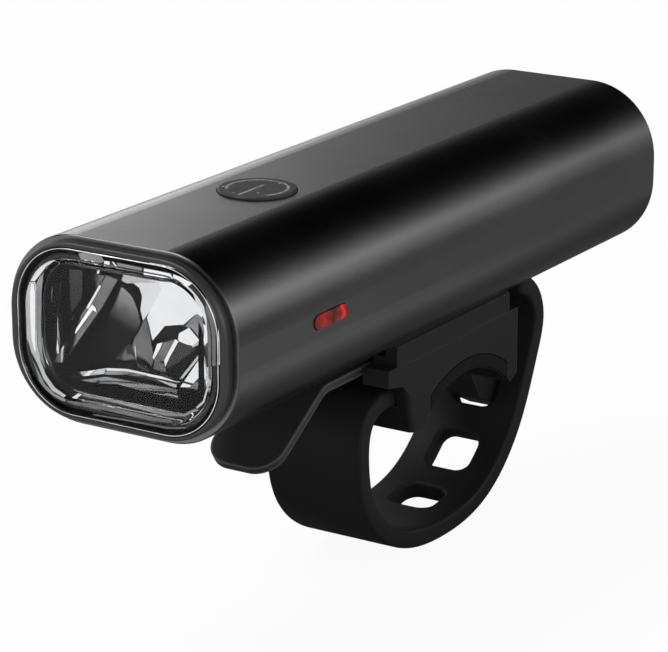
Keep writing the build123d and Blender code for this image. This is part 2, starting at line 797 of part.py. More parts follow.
with BuildPart() as strap:
    with BuildSketch(Plane.YZ):
        with BuildLine():
            Spline(neck_start, *loop_points)
        trace(line_width=strap_thickness)
        with BuildLine():
            Line(neck_start, bulb_centre)
        trace(line_width=strap_thickness)
        with Locations(bulb_centre):
            Circle(strap_bulb_radius)
            Circle(strap_pin_radius, mode=Mode.SUBTRACT)
    extrude(amount=strap_width / 2, both=True)
    for side in (0, -1):
        fillet(strap.edges().group_by(Axis.X)[side].sort_by(SortBy.LENGTH)[-2:], strap_round)
    for hole_place in hole_places:
        with BuildSketch(strap_hole_plane(hole_place)):
            RectangleRounded(strap_hole_width, strap_hole_length, strap_hole_corner)
        extrude(amount=strap_thickness, both=True, mode=Mode.SUBTRACT)
save(strap.part, "strap")

# Bracket: saddle over the bar, block and leg in front, T-rail on the deck, and behind it a
# hook whose arm goes out through the hole nearest the strap's free end
leg_top = deck_height - block_height - block_taper - leg_shoulder
leg_bottom = leg_top - leg_drop
leg_tip_front = leg_front - leg_lean
rear_tip = deck_height - rear_tip_drop
pivot = (-lever_pivot_reach, deck_height - lever_pivot_drop)
press = math.radians(lever_press_angle)
arm_bottom = deck_height - arm_thickness
slot_rear = pivot[0] + knuckle_radius + swing_gap
slot_front = -(saddle_front + overrun)
slot_floor = pivot[1] + (arm_bottom - pivot[1]) * math.cos(press) - swing_gap
hook_hole = hole_places[0]
hook_top = strap_hole_length / 2 - hook_play
hook_bottom = hook_slit - strap_hole_length / 2
hook_shoulder = -(strap_thickness / 2 + swing_gap)
hook_lip_front = strap_thickness / 2 + swing_gap
hook_end = hook_lip_front + hook_lip_thickness
hook_root = deck_height - hook_root_drop

with BuildPart() as bracket:
    with BuildSketch(Plane.YZ):
        Polygon(
            (saddle_rear, deck_height),
            (saddle_rear, rear_tip + rear_tip_taper),
            (saddle_rear - rear_tip_width, rear_tip),
            (0, 0),
            (leg_tip_width - leg_tip_front, leg_bottom),
            (-leg_tip_front, leg_bottom),
            (-leg_front, leg_top),
            (block_depth - saddle_front, leg_top + leg_shoulder),
            (-saddle_front, deck_height - block_height),
            (-saddle_front, deck_height),
            align=None,
        )
        Circle(bar_radius + bar_gap, mode=Mode.SUBTRACT)
    extrude(amount=bracket_width / 2, both=True)
    leg_edges = bracket.edges().filter_by_position(Axis.Z, leg_bottom, leg_top, inclusive=(False, False))
    fillet(leg_edges.filter_by_position(Axis.Y, -leg_front, -leg_tip_front), leg_round)
    fillet(bracket.faces().sort_by(Axis.Y)[-1].edges().sort_by(Axis.Z)[0], rear_tip_round)
    with BuildSketch(Plane.YZ):
        Circle(pad_radius)
        with Locations((-pad_front_reach, 0)):
            Rectangle(
                pad_front_reach + pad_rear_reach,
                pad_radius,
                align=(Align.MIN, Align.MIN),
                mode=Mode.INTERSECT,
            )
    extrude(amount=bracket_width / 2, both=True, mode=Mode.SUBTRACT)
    with BuildSketch(body_plane(-rail_front, height=deck_height)):
        Rectangle(rail_neck_width, rail_neck_height, align=(Align.CENTER, Align.MIN))
        with Locations((0, rail_neck_height)):
            Rectangle(rail_head_width, rail_head_thickness, align=(Align.CENTER, Align.MIN))
    extrude(amount=-(rail_front + rail_rear))
    with BuildSketch(Plane.YZ) as hook_outline:
        Polygon(
            (saddle_rear - rear_tip_width, rear_tip),
            (saddle_rear - rear_tip_width, hook_root),
            (saddle_rear, hook_root),
            beside_strap(hook_hole, hook_top, hook_shoulder),
            beside_strap(hook_hole, hook_top, hook_lip_front),
            beside_strap(hook_hole, hook_top + hook_lip_height, hook_lip_front),
            beside_strap(hook_hole, hook_top + hook_lip_height, hook_end),
            beside_strap(hook_hole, hook_bottom, hook_end),
            beside_strap(hook_hole, hook_bottom, hook_shoulder - hook_throat),
            align=None,
        )
        fillet(hook_outline.vertices().sort_by(Axis.X)[-2:], hook_lip_round)
        Circle(bar_radius + bar_gap, mode=Mode.SUBTRACT)
    extrude(amount=hook_width / 2, both=True)
    with BuildSketch(Plane.YZ):
        Polygon(
            (slot_rear, deck_height + overrun),
            (slot_rear, pivot[1]),
            (pivot[0], pivot[1]),
            (pivot[0], slot_floor),
            (slot_front, slot_floor + (slot_front - pivot[0]) * math.tan(press)),
            (slot_front, deck_height + overrun),
            align=None,
        )
        with Locations(pivot):
            Circle(knuckle_radius + swing_gap)
    extrude(amount=lever_width / 2 + slide_gap, both=True, mode=Mode.SUBTRACT)
    with BuildSketch(Plane.YZ):
        with Locations(bulb_centre):
            Circle(strap_bulb_radius + seat_gap)
            Rectangle(saddle_front, strap_thickness + 2 * seat_gap, align=(Align.MAX, Align.CENTER))
    extrude(amount=strap_width / 2 + slide_gap, both=True, mode=Mode.SUBTRACT)
    with BuildSketch(Plane.YZ.offset(-bracket_width / 2)):
        with Locations(pivot):
            Circle(lever_pin_radius)
        with Locations(bulb_centre):
            Circle(strap_pin_radius)
    extrude(amount=bracket_width - pin_blind, mode=Mode.SUBTRACT)
save(bracket.part, "bracket")

with BuildPart() as saddle_pad:
    with BuildSketch(Plane.YZ):
        Circle(pad_radius)
        Circle(bar_radius, mode=Mode.SUBTRACT)
        with Locations((-pad_front_reach, 0)):
            Rectangle(
                pad_front_reach + pad_rear_reach,
                pad_radius,
                align=(Align.MIN, Align.MIN),
                mode=Mode.INTERSECT,
            )
    extrude(amount=bracket_width / 2, both=True)
save(saddle_pad.part, "saddle_pad")

with BuildPart() as strap_pin:
    with BuildSketch(Plane.YZ.offset(-bracket_width / 2)):
        with Locations(bulb_centre):
            Circle(strap_pin_radius)
    extrude(amount=bracket_width - pin_blind)
save(strap_pin.part, "strap_pin")

with BuildPart() as lever_pin:
    with BuildSketch(Plane.YZ.offset(-bracket_width / 2)):
        with Locations(pivot):
            Circle(lever_pin_radius)
    extrude(amount=bracket_width - pin_blind)
save(lever_pin.part, "lever_pin")

# Release lever: an arm on the pin, the catch, and a tongue that bends down to a round tip
slope = math.radians(tongue_slope)
tip_drop = (tongue_tip_reach - tongue_flat_reach) * math.tan(slope)
inner_bend = tongue_thickness * math.tan(slope / 2)
tip_back = tongue_thickness * math.sin(slope)
tip_under = tongue_thickness * math.cos(slope)
with BuildPart() as release_lever:
    with BuildSketch(Plane.YZ):
        with BuildLine():
            FilletPolyline(
                (pivot[0], arm_bottom),
                (pivot[0], deck_height),
                (-tongue_flat_reach, deck_height),
                (-tongue_tip_reach, deck_height - tip_drop),
                radius=[seat_gap, tongue_bend],
            )
            Line(
                (-tongue_tip_reach, deck_height - tip_drop),
                (tip_back - tongue_tip_reach, deck_height - tip_drop - tip_under),
            )
            FilletPolyline(
                (tip_back - tongue_tip_reach, deck_height - tip_drop - tip_under),
                (inner_bend - tongue_flat_reach, deck_height - tongue_thickness),
                (-saddle_front, deck_height - tongue_thickness),
                (-saddle_front + block_depth, arm_bottom),
                (pivot[0], arm_bottom),
                radius=[tongue_bend - tongue_thickness, tongue_bend, tongue_bend],
            )
        make_face()
        with Locations(pivot):
            Circle(knuckle_radius)
            Circle(lever_pin_radius + turn_gap, mode=Mode.SUBTRACT)
    extrude(amount=lever_width / 2, both=True)
    fillet(release_lever.faces().sort_by(Axis.Y)[0].edges().filter_by(Axis.X, reverse=True), tongue_corner)
    with BuildSketch(level_plane(deck_height)):
        with Locations((0, -catch_reach)):
            Rectangle(catch_width, catch_length, align=(Align.CENTER, Align.MIN))
    extrude(amount=catch_height)
save(release_lever.part, "release_lever")
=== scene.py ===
import math

import bmesh
import bpy
import numpy
from mathutils import Matrix, Vector


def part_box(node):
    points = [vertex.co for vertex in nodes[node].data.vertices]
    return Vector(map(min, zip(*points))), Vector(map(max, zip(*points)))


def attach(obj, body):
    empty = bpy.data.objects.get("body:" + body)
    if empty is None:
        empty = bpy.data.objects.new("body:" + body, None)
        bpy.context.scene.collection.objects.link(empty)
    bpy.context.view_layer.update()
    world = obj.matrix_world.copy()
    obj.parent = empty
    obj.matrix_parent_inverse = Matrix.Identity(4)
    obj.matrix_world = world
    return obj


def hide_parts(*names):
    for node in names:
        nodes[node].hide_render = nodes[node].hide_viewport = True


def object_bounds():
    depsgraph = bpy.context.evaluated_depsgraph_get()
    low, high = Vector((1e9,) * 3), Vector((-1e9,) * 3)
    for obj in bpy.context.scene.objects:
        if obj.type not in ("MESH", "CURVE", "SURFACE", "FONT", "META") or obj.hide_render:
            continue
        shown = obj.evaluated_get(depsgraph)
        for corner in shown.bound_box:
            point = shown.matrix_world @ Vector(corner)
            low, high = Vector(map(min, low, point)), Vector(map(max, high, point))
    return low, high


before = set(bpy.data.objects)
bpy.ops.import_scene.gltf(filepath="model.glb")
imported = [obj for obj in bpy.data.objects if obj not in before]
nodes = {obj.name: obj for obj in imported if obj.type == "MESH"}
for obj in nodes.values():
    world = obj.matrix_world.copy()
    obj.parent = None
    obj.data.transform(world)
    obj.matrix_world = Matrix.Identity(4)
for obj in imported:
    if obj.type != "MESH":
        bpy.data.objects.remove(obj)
cad_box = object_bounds()
scene = bpy.context.scene
MM = 0.001
BLACK = (0.0, 0.0, 0.0)


# Nodes that the materials are made of

def new_material(name):
    """An empty Principled material: the material, its node tree and the shader node."""
    material = bpy.data.materials.new(name)
    material.use_nodes = True
    tree = material.node_tree
    return material, tree, tree.nodes["Principled BSDF"]


def shade(value):
    """A neutral colour of one value, a touch cooler than grey."""
    return (value, value, 1.02 * value)


def coordinates(tree, kind):
    """The X, Y and Z of a point, in one of Blender's kinds of texture coordinates."""
    source = tree.nodes.new("ShaderNodeTexCoord")
    split = tree.nodes.new("ShaderNodeSeparateXYZ")
    tree.links.new(source.outputs[kind], split.inputs["Vector"])
    return split.outputs


def noise(tree, scale, detail):
    """A noise texture in object space, in cells per metre."""
    coords = tree.nodes.new("ShaderNodeTexCoord")
    texture = tree.nodes.new("ShaderNodeTexNoise")
    texture.inputs["Scale"].default_value = scale
    texture.inputs["Detail"].default_value = detail
    tree.links.new(coords.outputs["Object"], texture.inputs["Vector"])
    return texture


def map_range(tree, value, start, end, low=0.0, high=1.0):
    """A value carried from one range to another and held at its ends."""
    node = tree.nodes.new("ShaderNodeMapRange")
    for name, number in (("From Min", start), ("From Max", end), ("To Min", low), ("To Max", high)):
        node.inputs[name].default_value = number
    tree.links.new(value, node.inputs["Value"])
    return node.outputs["Result"]


def ramp(tree, value, stops):
    """A colour ramp over a value, from pairs of a position and a grey or a colour."""
    node = tree.nodes.new("ShaderNodeValToRGB")
    points = node.color_ramp.elements
    while len(points) < len(stops):
        points.new(0.5)
    for point, (place, tone) in zip(points, stops):
        point.position = place
        point.color = (*tone, 1) if isinstance(tone, tuple) else (tone, tone, tone, 1)
    tree.links.new(value, node.inputs["Fac"])
    return node.outputs["Color"]


def curve(tree, value, start, end, peak, points):
    """A brightness along a value, as a share of its peak, from pairs of the value and the brightness."""
    stops = [((place - start) / (end - start), height / peak) for place, height in points]
    return ramp(tree, map_range(tree, value, start, end), stops)


# A noise texture hardly leaves this middle part of its range
noise_low, noise_high = 0.35, 0.65


def spread(tree, texture, low, high):
    """The texture's value spread over a range of numbers."""
    return map_range(tree, texture.outputs["Fac"], noise_low, noise_high, low, high)


def tint(tree, texture, dark, light):
    """A colour that runs from dark to light with the texture."""
    return ramp(tree, texture.outputs["Fac"], [(noise_low, dark), (noise_high, light)])


def maths(tree, operation, *values):
    """One math node: each input is a number or a socket."""
    node = tree.nodes.new("ShaderNodeMath")
    node.operation = operation
    for slot, value in zip(node.inputs, values):
        if isinstance(value, (int, float)):
            slot.default_value = value
        else:
            tree.links.new(value, slot)
    return node.outputs[0]


def length_of(tree, *parts):
    """The length of a vector of two parts."""
    squares = [maths(tree, "MULTIPLY", part, part) for part in parts]
    return maths(tree, "SQRT", maths(tree, "ADD", *squares))


def near(tree, distance, half_width, soft):
    """1 where a distance is under a half width, falling to 0 over a soft edge."""
    return map_range(tree, maths(tree, "ABSOLUTE", distance), half_width, half_width + soft, 1.0, 0.0)


def blend_colours(tree, share, first, second):
    """A mix of two colours by a share from 0 to 1."""
    node = tree.nodes.new("ShaderNodeMix")
    node.data_type = "RGBA"
    tree.links.new(share, node.inputs["Factor"])
    for slot, value in (("A", first), ("B", second)):
        if isinstance(value, tuple):
            node.inputs[slot].default_value = (*value, 1)
        else:
            tree.links.new(value, node.inputs[slot])
    return node.outputs["Result"]


def rounded_normal(tree, radius):
    """The normal of edges that look rounded by a radius in metres."""
    bevel = tree.nodes.new("ShaderNodeBevel")
    bevel.samples = 6
    bevel.inputs["Radius"].default_value = radius
    return bevel.outputs["Normal"]


def relief(tree, shader, texture, height, rounding=0.0):
    """Bump of a height in metres from a texture, on edges that look rounded."""
    node = tree.nodes.new("ShaderNodeBump")
    node.inputs["Strength"].default_value = 1.0
    node.inputs["Distance"].default_value = height
    tree.links.new(texture.outputs["Fac"], node.inputs["Height"])
    if rounding:
        tree.links.new(rounded_normal(tree, rounding), node.inputs["Normal"])
    tree.links.new(node.outputs["Normal"], shader.inputs["Normal"])


def edge_highlight_share(tree, radius):
    """1 on edges, within a radius of them, and 0 on flat ground."""
    flat_likeness, edge_likeness = 0.995, 0.86
    geometry = tree.nodes.new("ShaderNodeNewGeometry")
    likeness = tree.nodes.new("ShaderNodeVectorMath")
    likeness.operation = "DOT_PRODUCT"
    tree.links.new(rounded_normal(tree, radius), likeness.inputs[0])
    tree.links.new(geometry.outputs["Normal"], likeness.inputs[1])
    return map_range(tree, likeness.outputs["Value"], flat_likeness, edge_likeness)


# Materials

def surface(
        name, dark, light, rough, grain, height, metal=0.0, specular=0.5, blotch=60.0, rounding=0.0,
        edge=None):
    """A surface with a slightly varied colour and roughness, a fine grain and, if asked, painted edge
    highlights.
    """
    material, tree, shader = new_material(name)
    fine = noise(tree, grain, 5.0)
    broad = noise(tree, blotch, 3.0)
    colour = tint(tree, broad, dark, light)
    # Painted highlight: the rounded edges take a paler colour
    if edge:
        colour = blend_colours(tree, edge_highlight_share(tree, rounding), colour, edge)
    tree.links.new(colour, shader.inputs["Base Color"])
    tree.links.new(spread(tree, broad, *rough), shader.inputs["Roughness"])
    shader.inputs["Metallic"].default_value = metal
    shader.inputs["Specular IOR Level"].default_value = specular
    relief(tree, shader, fine, height, rounding)
    return material


# Plain surfaces: grain and blotch in cells per metre, height and rounding in metres
surfaces = {
    "bezel_plastic": dict(
        dark=shade(0.016), light=shade(0.021), rough=(0.36, 0.44), grain=3000.0, height=4e-6, specular=0.4,
        rounding=0.0002),
    "cap_plastic": dict(
        dark=shade(0.010), light=shade(0.014), rough=(0.42, 0.52), grain=3000.0, height=8e-6, specular=0.3,
        rounding=0.0002),
    # In these two, edge is the colour of a painted highlight on the rounded edges
    "mount_plastic": dict(
        dark=shade(0.0085), light=shade(0.0115), rough=(0.46, 0.56), grain=3600.0, height=8e-6, specular=0.10,
        rounding=0.0003, edge=shade(0.035)),
    "lever_plastic": dict(
        dark=shade(0.0110), light=shade(0.0150), rough=(0.42, 0.52), grain=3600.0, height=8e-6, specular=0.3,
        rounding=0.0006, edge=shade(0.10)),
    "strap_rubber": dict(
        dark=shade(0.0072), light=shade(0.0102), rough=(0.52, 0.62), grain=2600.0, height=7e-6, specular=0.1),
    "pad_rubber": dict(
        dark=shade(0.0050), light=shade(0.0075), rough=(0.6, 0.7), grain=2200.0, height=9e-6, specular=0.06),
    "seal_rubber": dict(
        dark=shade(0.008), light=shade(0.011), rough=(0.5, 0.6), grain=2600.0, height=6e-6, specular=0.35),
    "cover_rubber": dict(
        dark=shade(0.010), light=shade(0.014), rough=(0.56, 0.66), grain=2600.0, height=8e-6, specular=0.35,
        rounding=0.0002),
    "chrome": dict(
        dark=shade(0.86), light=shade(0.92), rough=(0.02, 0.05), grain=400.0, height=2e-6, metal=1.0),
    "bare_metal": dict(
        dark=shade(0.55), light=shade(0.66), rough=(0.25, 0.38), grain=4000.0, height=4e-6, metal=1.0),
    "dark_steel": dict(
        dark=shade(0.05), light=shade(0.08), rough=(0.28, 0.4), grain=3000.0, height=4e-6, metal=1.0,
        rounding=0.00015),
    "board_green": dict(
        dark=(0.006, 0.045, 0.02), light=(0.010, 0.060, 0.028), rough=(0.3, 0.4), grain=2500.0, height=4e-6),
    "cell_film": dict(
        dark=(0.012, 0.06, 0.14), light=(0.016, 0.07, 0.16), rough=(0.22, 0.32), grain=900.0, height=4e-6),
    "flex_film": dict(
        dark=(0.22, 0.09, 0.015), light=(0.28, 0.12, 0.02), rough=(0.3, 0.4), grain=1500.0, height=4e-6),
    "frame_plastic": dict(
        dark=shade(0.02), light=shade(0.03), rough=(0.5, 0.6), grain=3000.0, height=6e-6),
    "phosphor": dict(
        dark=(0.62, 0.60, 0.46), light=(0.70, 0.68, 0.55), rough=(0.35, 0.45), grain=5000.0, height=5e-6),
    # A painted highlight: the bright mirror of the ring round the lens's rim
    "edge_glint": dict(
        dark=shade(0.45), light=shade(0.95), rough=(0.10, 0.22), grain=700.0, height=6e-6, metal=1.0,
        blotch=330.0),
}


def anodised_metal():
    """Dark anodised metal, with a painted sheen that makes the faces turned to the front paler."""
    material, tree, shader = new_material("anodised")
    broad = noise(tree, 60.0, 3.0)
    tone = tint(tree, broad, shade(0.066), shade(0.074))
    # Painted sheen: faces that turn to the front take a paler colour
    front_sheen = maths(tree, "LESS_THAN", coordinates(tree, "Normal")["Y"], -0.9)
    tree.links.new(blend_colours(tree, front_sheen, tone, shade(0.15)), shader.inputs["Base Color"])
    tree.links.new(spread(tree, broad, 0.24, 0.28), shader.inputs["Roughness"])
    shader.inputs["Metallic"].default_value = 1.0
    relief(tree, shader, noise(tree, 3800.0, 3.0), 9e-6, 0.00012)
    return material


def clear(name, colour, rough, ior):
    """A clear or tinted see-through material with a faint waviness."""
    material, tree, shader = new_material(name)
    broad = noise(tree, 120.0, 3.0)
    low = tuple(0.96 * channel for channel in colour)
    tree.links.new(tint(tree, broad, low, colour), shader.inputs["Base Color"])
    tree.links.new(spread(tree, broad, rough, rough + 0.015), shader.inputs["Roughness"])
    shader.inputs["Transmission Weight"].default_value = 1.0
    shader.inputs["IOR"].default_value = ior
    relief(tree, shader, noise(tree, 900.0, 2.0), 2e-6)
    return material


def red_window():
    """Deep red with a painted highlight near its rear end and a dimmer one near its front end."""
    material, tree, shader = new_material("lens_red")
    low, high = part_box("side_lens")
    along = map_range(tree, coordinates(tree, "Object")["Y"], low[1], high[1])
    mottle = noise(tree, 900.0, 3.0)
    stray = maths(tree, "SUBTRACT", mottle.outputs["Fac"], 0.5)
    # Painted highlights: the red is brightest near the rear end, dimmer near the front and darkest between
    reds_with_painted_highlights = ramp(tree, maths(tree, "MULTIPLY_ADD", stray, 0.35, along), [
        (0.12, (0.16, 0.004, 0.005)),
        (0.30, (0.42, 0.010, 0.012)),
        (0.52, (0.055, 0.002, 0.003)),
        (0.66, (0.16, 0.004, 0.005)),
        (0.80, (0.95, 0.020, 0.022)),
        (0.97, (0.10, 0.003, 0.004)),
    ])
    tree.links.new(reds_with_painted_highlights, shader.inputs["Base Color"])
    tree.links.new(spread(tree, mottle, 0.05, 0.12), shader.inputs["Roughness"])
    shader.inputs["Specular IOR Level"].default_value = 0.15
    relief(tree, shader, noise(tree, 1500.0, 2.0), 2e-5, 0.00015)
    return material


def sign_and_painted_glint(tree):
    """1 on the button's sign: a ring that is open towards the front, a stroke and a few dots, the last of
    which is a painted glint.
    """
    ring_radius, ring_opening = 4.0 * MM, -2.6 * MM
    stroke_place, stroke_middle, stroke_reach = -0.1 * MM, -1.2 * MM, 2.9 * MM
    line_reach, soft_edge = 0.12 * MM, 0.1 * MM
    # The last dot, the largest, is a painted glint rather than print
    dots = [(-4.1, -1.8, 0.16), (-1.2, -3.7, 0.14), (1.5, -2.1, 0.14), (1.3, 3.4, 0.2)]
    low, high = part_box("power_button")
    places = coordinates(tree, "Object")
    across = maths(tree, "SUBTRACT", places["X"], (low[0] + high[0]) / 2)
    along = maths(tree, "SUBTRACT", places["Y"], (low[1] + high[1]) / 2)
    from_ring = maths(tree, "SUBTRACT", length_of(tree, across, along), ring_radius)
    ring = near(tree, from_ring, line_reach, line_reach)
    ring = maths(tree, "MULTIPLY", ring, maths(tree, "GREATER_THAN", along, ring_opening))
    stroke = near(tree, maths(tree, "SUBTRACT", across, stroke_place), line_reach, line_reach)
    stroke_length = near(tree, maths(tree, "SUBTRACT", along, stroke_middle), stroke_reach, soft_edge)
    sign = maths(tree, "MAXIMUM", ring, maths(tree, "MULTIPLY", stroke, stroke_length))
    for dot_x, dot_y, dot_size in dots:
        aside = maths(tree, "SUBTRACT", across, dot_x * MM)
        beyond = maths(tree, "SUBTRACT", along, dot_y * MM)
        dot = near(tree, length_of(tree, aside, beyond), dot_size * MM, soft_edge)
        sign = maths(tree, "MAXIMUM", sign, dot)
    return sign


def button_skin():
    """Dark rubber with the worn sign printed on it, and a painted glint as one of its dots."""
    material, tree, shader = new_material("button_rubber")
    worn = noise(tree, 1300.0, 3.0)
    print_and_glint_share = maths(tree, "MULTIPLY", sign_and_painted_glint(tree), spread(tree, worn, 0.25, 1.0))
    rubber = tint(tree, noise(tree, 200.0, 3.0), shade(0.011), shade(0.015))
    tree.links.new(blend_colours(tree, print_and_glint_share, rubber, shade(0.24)), shader.inputs["Base Color"])
    tree.links.new(spread(tree, worn, 0.48, 0.58), shader.inputs["Roughness"])
    shader.inputs["Specular IOR Level"].default_value = 0.35
    relief(tree, shader, noise(tree, 4200.0, 4.0), 7e-6, 0.0002)
    return material


materials = {name: surface(name, **look) for name, look in surfaces.items()}
materials["anodised"] = anodised_metal()
materials["lens_clear"] = clear("lens_clear", (0.985, 0.99, 0.99), 0.0, 1.2)
materials["guide_clear"] = clear("guide_clear", (0.97, 0.98, 0.98), 0.01, 1.49)
materials["lens_red"] = red_window()
materials["button_rubber"] = button_skin()

finishes = {
    "anodised": ["housing"],
    "bezel_plastic": ["bezel"],
    "cap_plastic": ["rear_cap"],
    "mount_plastic": ["bracket", "rail_shoe"],
    "lever_plastic": ["release_lever"],
    "frame_plastic": ["inner_frame", "tact_switch"],
    "strap_rubber": ["strap"],
    "pad_rubber": ["saddle_pad"],
    "seal_rubber": ["lens_seal", "cap_seal"],
    "cover_rubber": ["usb_cover"],
    "button_rubber": ["power_button"],
    "lens_clear": ["front_lens"],
    "lens_red": ["side_lens"],
    "guide_clear": ["light_guide"],
    "chrome": ["reflector"],
    "bare_metal": ["led_board", "heat_sink", "cell_tabs", "usb_socket", "strap_pin", "lever_pin"],
    "dark_steel": ["cap_screws", "shoe_screws"],
    "phosphor": ["led_emitter", "side_led"],
    "board_green": ["control_board", "charge_board"],
    "cell_film": ["battery_cell"],
    "flex_film": ["link_flex"],
}
for finish, parts in finishes.items():
    for part in parts:
        data = nodes[part].data
        data.materials.clear()
        data.materials.append(materials[finish])


# Camera, fitted to the photograph: its place in millimetres, and its right, up and back directions

frame_width, frame_height = 668, 652
sensor_width = 36.0
focal_length = 162.8
focal_px = round(focal_length / sensor_width * frame_width)
camera_place = numpy.array((211.36, -349.84, 150.83))
camera_right = numpy.array((0.84290, 0.53807, -0.00211))
camera_up = numpy.array((-0.15928, 0.25326, 0.95420))
camera_back = numpy.array((0.51396, -0.80396, 0.29917))

camera_data = bpy.data.cameras.new("camera")
camera_data.sensor_fit = "HORIZONTAL"
camera_data.sensor_width = sensor_width
camera_data.lens = focal_length
camera_data.clip_start = 0.01
camera_data.clip_end = 50.0
camera = bpy.data.objects.new("camera", camera_data)
scene.collection.objects.link(camera)
back = Vector(camera_back).normalized()
up = back.cross(Vector(camera_right).normalized()).normalized()
right = up.cross(back).normalized()
turned_camera = Matrix((right, up, back)).transposed().to_4x4()
camera.matrix_world = Matrix.Translation(Vector(camera_place * MM)) @ turned_camera
scene.camera = camera
scene.view_settings.view_transform = "Standard"


# Pieces that stand for soft solids and for clear or mirrored ones, sized in millimetres

def piece(name, verts, faces, body, looks, smooth=35.0):
    """A mesh piece that rides on a body, from points in metres."""
    data = bpy.data.meshes.new(name)
    data.from_pydata([tuple(v) for v in verts], [], faces)
    data.polygons.foreach_set("use_smooth", [True] * len(data.polygons))
    data.set_sharp_from_angle(angle=math.radians(smooth))
    for material in looks:
        data.materials.append(material)
    thing = bpy.data.objects.new(name, data)
    scene.collection.objects.link(thing)
    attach(thing, body)
    return thing


def in_metres(points):
    """Points in millimetres, as points in metres."""
    return [tuple(value * MM for value in point) for point in points]


def loft(rings, size, first=0, closed=False, turned=False):
    """Quads between rings of points that follow each other in a list, from a first index on."""
    quads = []
    for ring in range(rings if closed else rings - 1):
        here = first + ring * size
        there = first + (ring + 1) % rings * size
        for k in range(size):
            n = (k + 1) % size
            quad = [here + k, here + n, there + n, there + k]
            quads.append([quad[0], quad[3], quad[2], quad[1]] if turned else quad)
    return quads


def rounded(width, height, corner, count=12):
    """Points of a rounded rectangle about the origin, anticlockwise."""
    points = []
    for quarter, (sx, sy) in enumerate(((1, 1), (-1, 1), (-1, -1), (1, -1))):
        for step in range(count + 1):
            angle = math.radians(90 * (quarter + step / count))
            points.append((
                sx * (width / 2 - corner) + corner * math.cos(angle),
                sy * (height / 2 - corner) + corner * math.sin(angle),
            ))
    return points


# Strap: a plate with rounded holes, laid along the same loop as the solid's centre line
strap_width, strap_thickness, strap_edge = 15.4, 2.8, 0.55
strap_reach, neck_height, neck_reach = 25.3, 18.0, 18.6
loop_shares = [
    (-0.887, 0.877), (-0.927, 0.562), (-0.854, 0.171), (-0.554, -0.184),
    (-0.064, -0.311), (0.395, -0.197), (0.731, 0.200), (0.941, 0.762),
    (1.000, 1.067), (0.958, 1.223), (0.842, 1.361), (0.770, 1.388),
]
pin_place = numpy.array((-13.0, neck_height))
plate_start, plate_corner = 1.6, 0.8
hole_side, hole_corner, hole_pitch, strap_tail, hole_count = 6.8, 1.8, 11.65, 20.85, 3
eye_profile = [(1.0, -7.7), (1.8, -7.7), (2.0, -7.5), (2.0, 7.5), (1.8, 7.7), (1.0, 7.7)]
eye_count = 40
spans_per_knot = 60
bend_step = 0.75


def smooth_loop(knots):
    """Points on a cubic spline through the knots, whose bend is even over its first and last span."""
    gaps = numpy.linalg.norm(numpy.diff(knots, axis=0), axis=1)
    count = len(knots)
    system = numpy.zeros((count, count))
    target = numpy.zeros((count, 2))
    system[0, :2] = system[-1, -2:] = (1, -1)
    for k in range(1, count - 1):
        system[k, k - 1:k + 2] = (gaps[k - 1], 2 * (gaps[k - 1] + gaps[k]), gaps[k])
        target[k] = 6 * ((knots[k + 1] - knots[k]) / gaps[k] - (knots[k] - knots[k - 1]) / gaps[k - 1])
    bends = numpy.linalg.solve(system, target)
    line = []
    for k in range(count - 1):
        for share in numpy.linspace(0, 1, spans_per_knot, endpoint=k == count - 2):
            a, b = 1 - share, share
            line.append(
                a * knots[k] + b * knots[k + 1]
                + gaps[k] ** 2 / 6 * ((a ** 3 - a) * bends[k] + (b ** 3 - b) * bends[k + 1]))
    return numpy.array(line)


def strap_plate(length):
    """The flat strap with its holes and soft edges, as a mesh: X across, Y along and Z out."""
    plate = bpy.data.curves.new("strap_plate", "CURVE")
    plate.dimensions = "2D"
    plate.fill_mode = "BOTH"
    plate.extrude = strap_thickness / 2 - strap_edge
    plate.bevel_depth = strap_edge
    plate.bevel_resolution = 3
    plate.offset = -strap_edge
    outlines = [((plate_start + length) / 2, rounded(strap_width, length - plate_start, plate_corner, 4))]
    for number in range(hole_count):
        middle = length - strap_tail - number * hole_pitch
        outlines.append((middle, rounded(hole_side, hole_side, hole_corner, 8)))
    for middle, outline in outlines:
        spline = plate.splines.new("POLY")
        spline.points.add(len(outline) - 1)
        for point, (x, y) in zip(spline.points, outline):
            point.co = (x, y + middle, 0, 1)
        spline.use_cyclic_u = True
    plate_object = bpy.data.objects.new("strap_plate", plate)
    scene.collection.objects.link(plate_object)
    bpy.context.view_layer.update()
    mesh = bpy.data.meshes.new_from_object(plate_object.evaluated_get(bpy.context.evaluated_depsgraph_get()))
    bpy.data.objects.remove(plate_object)
    return mesh


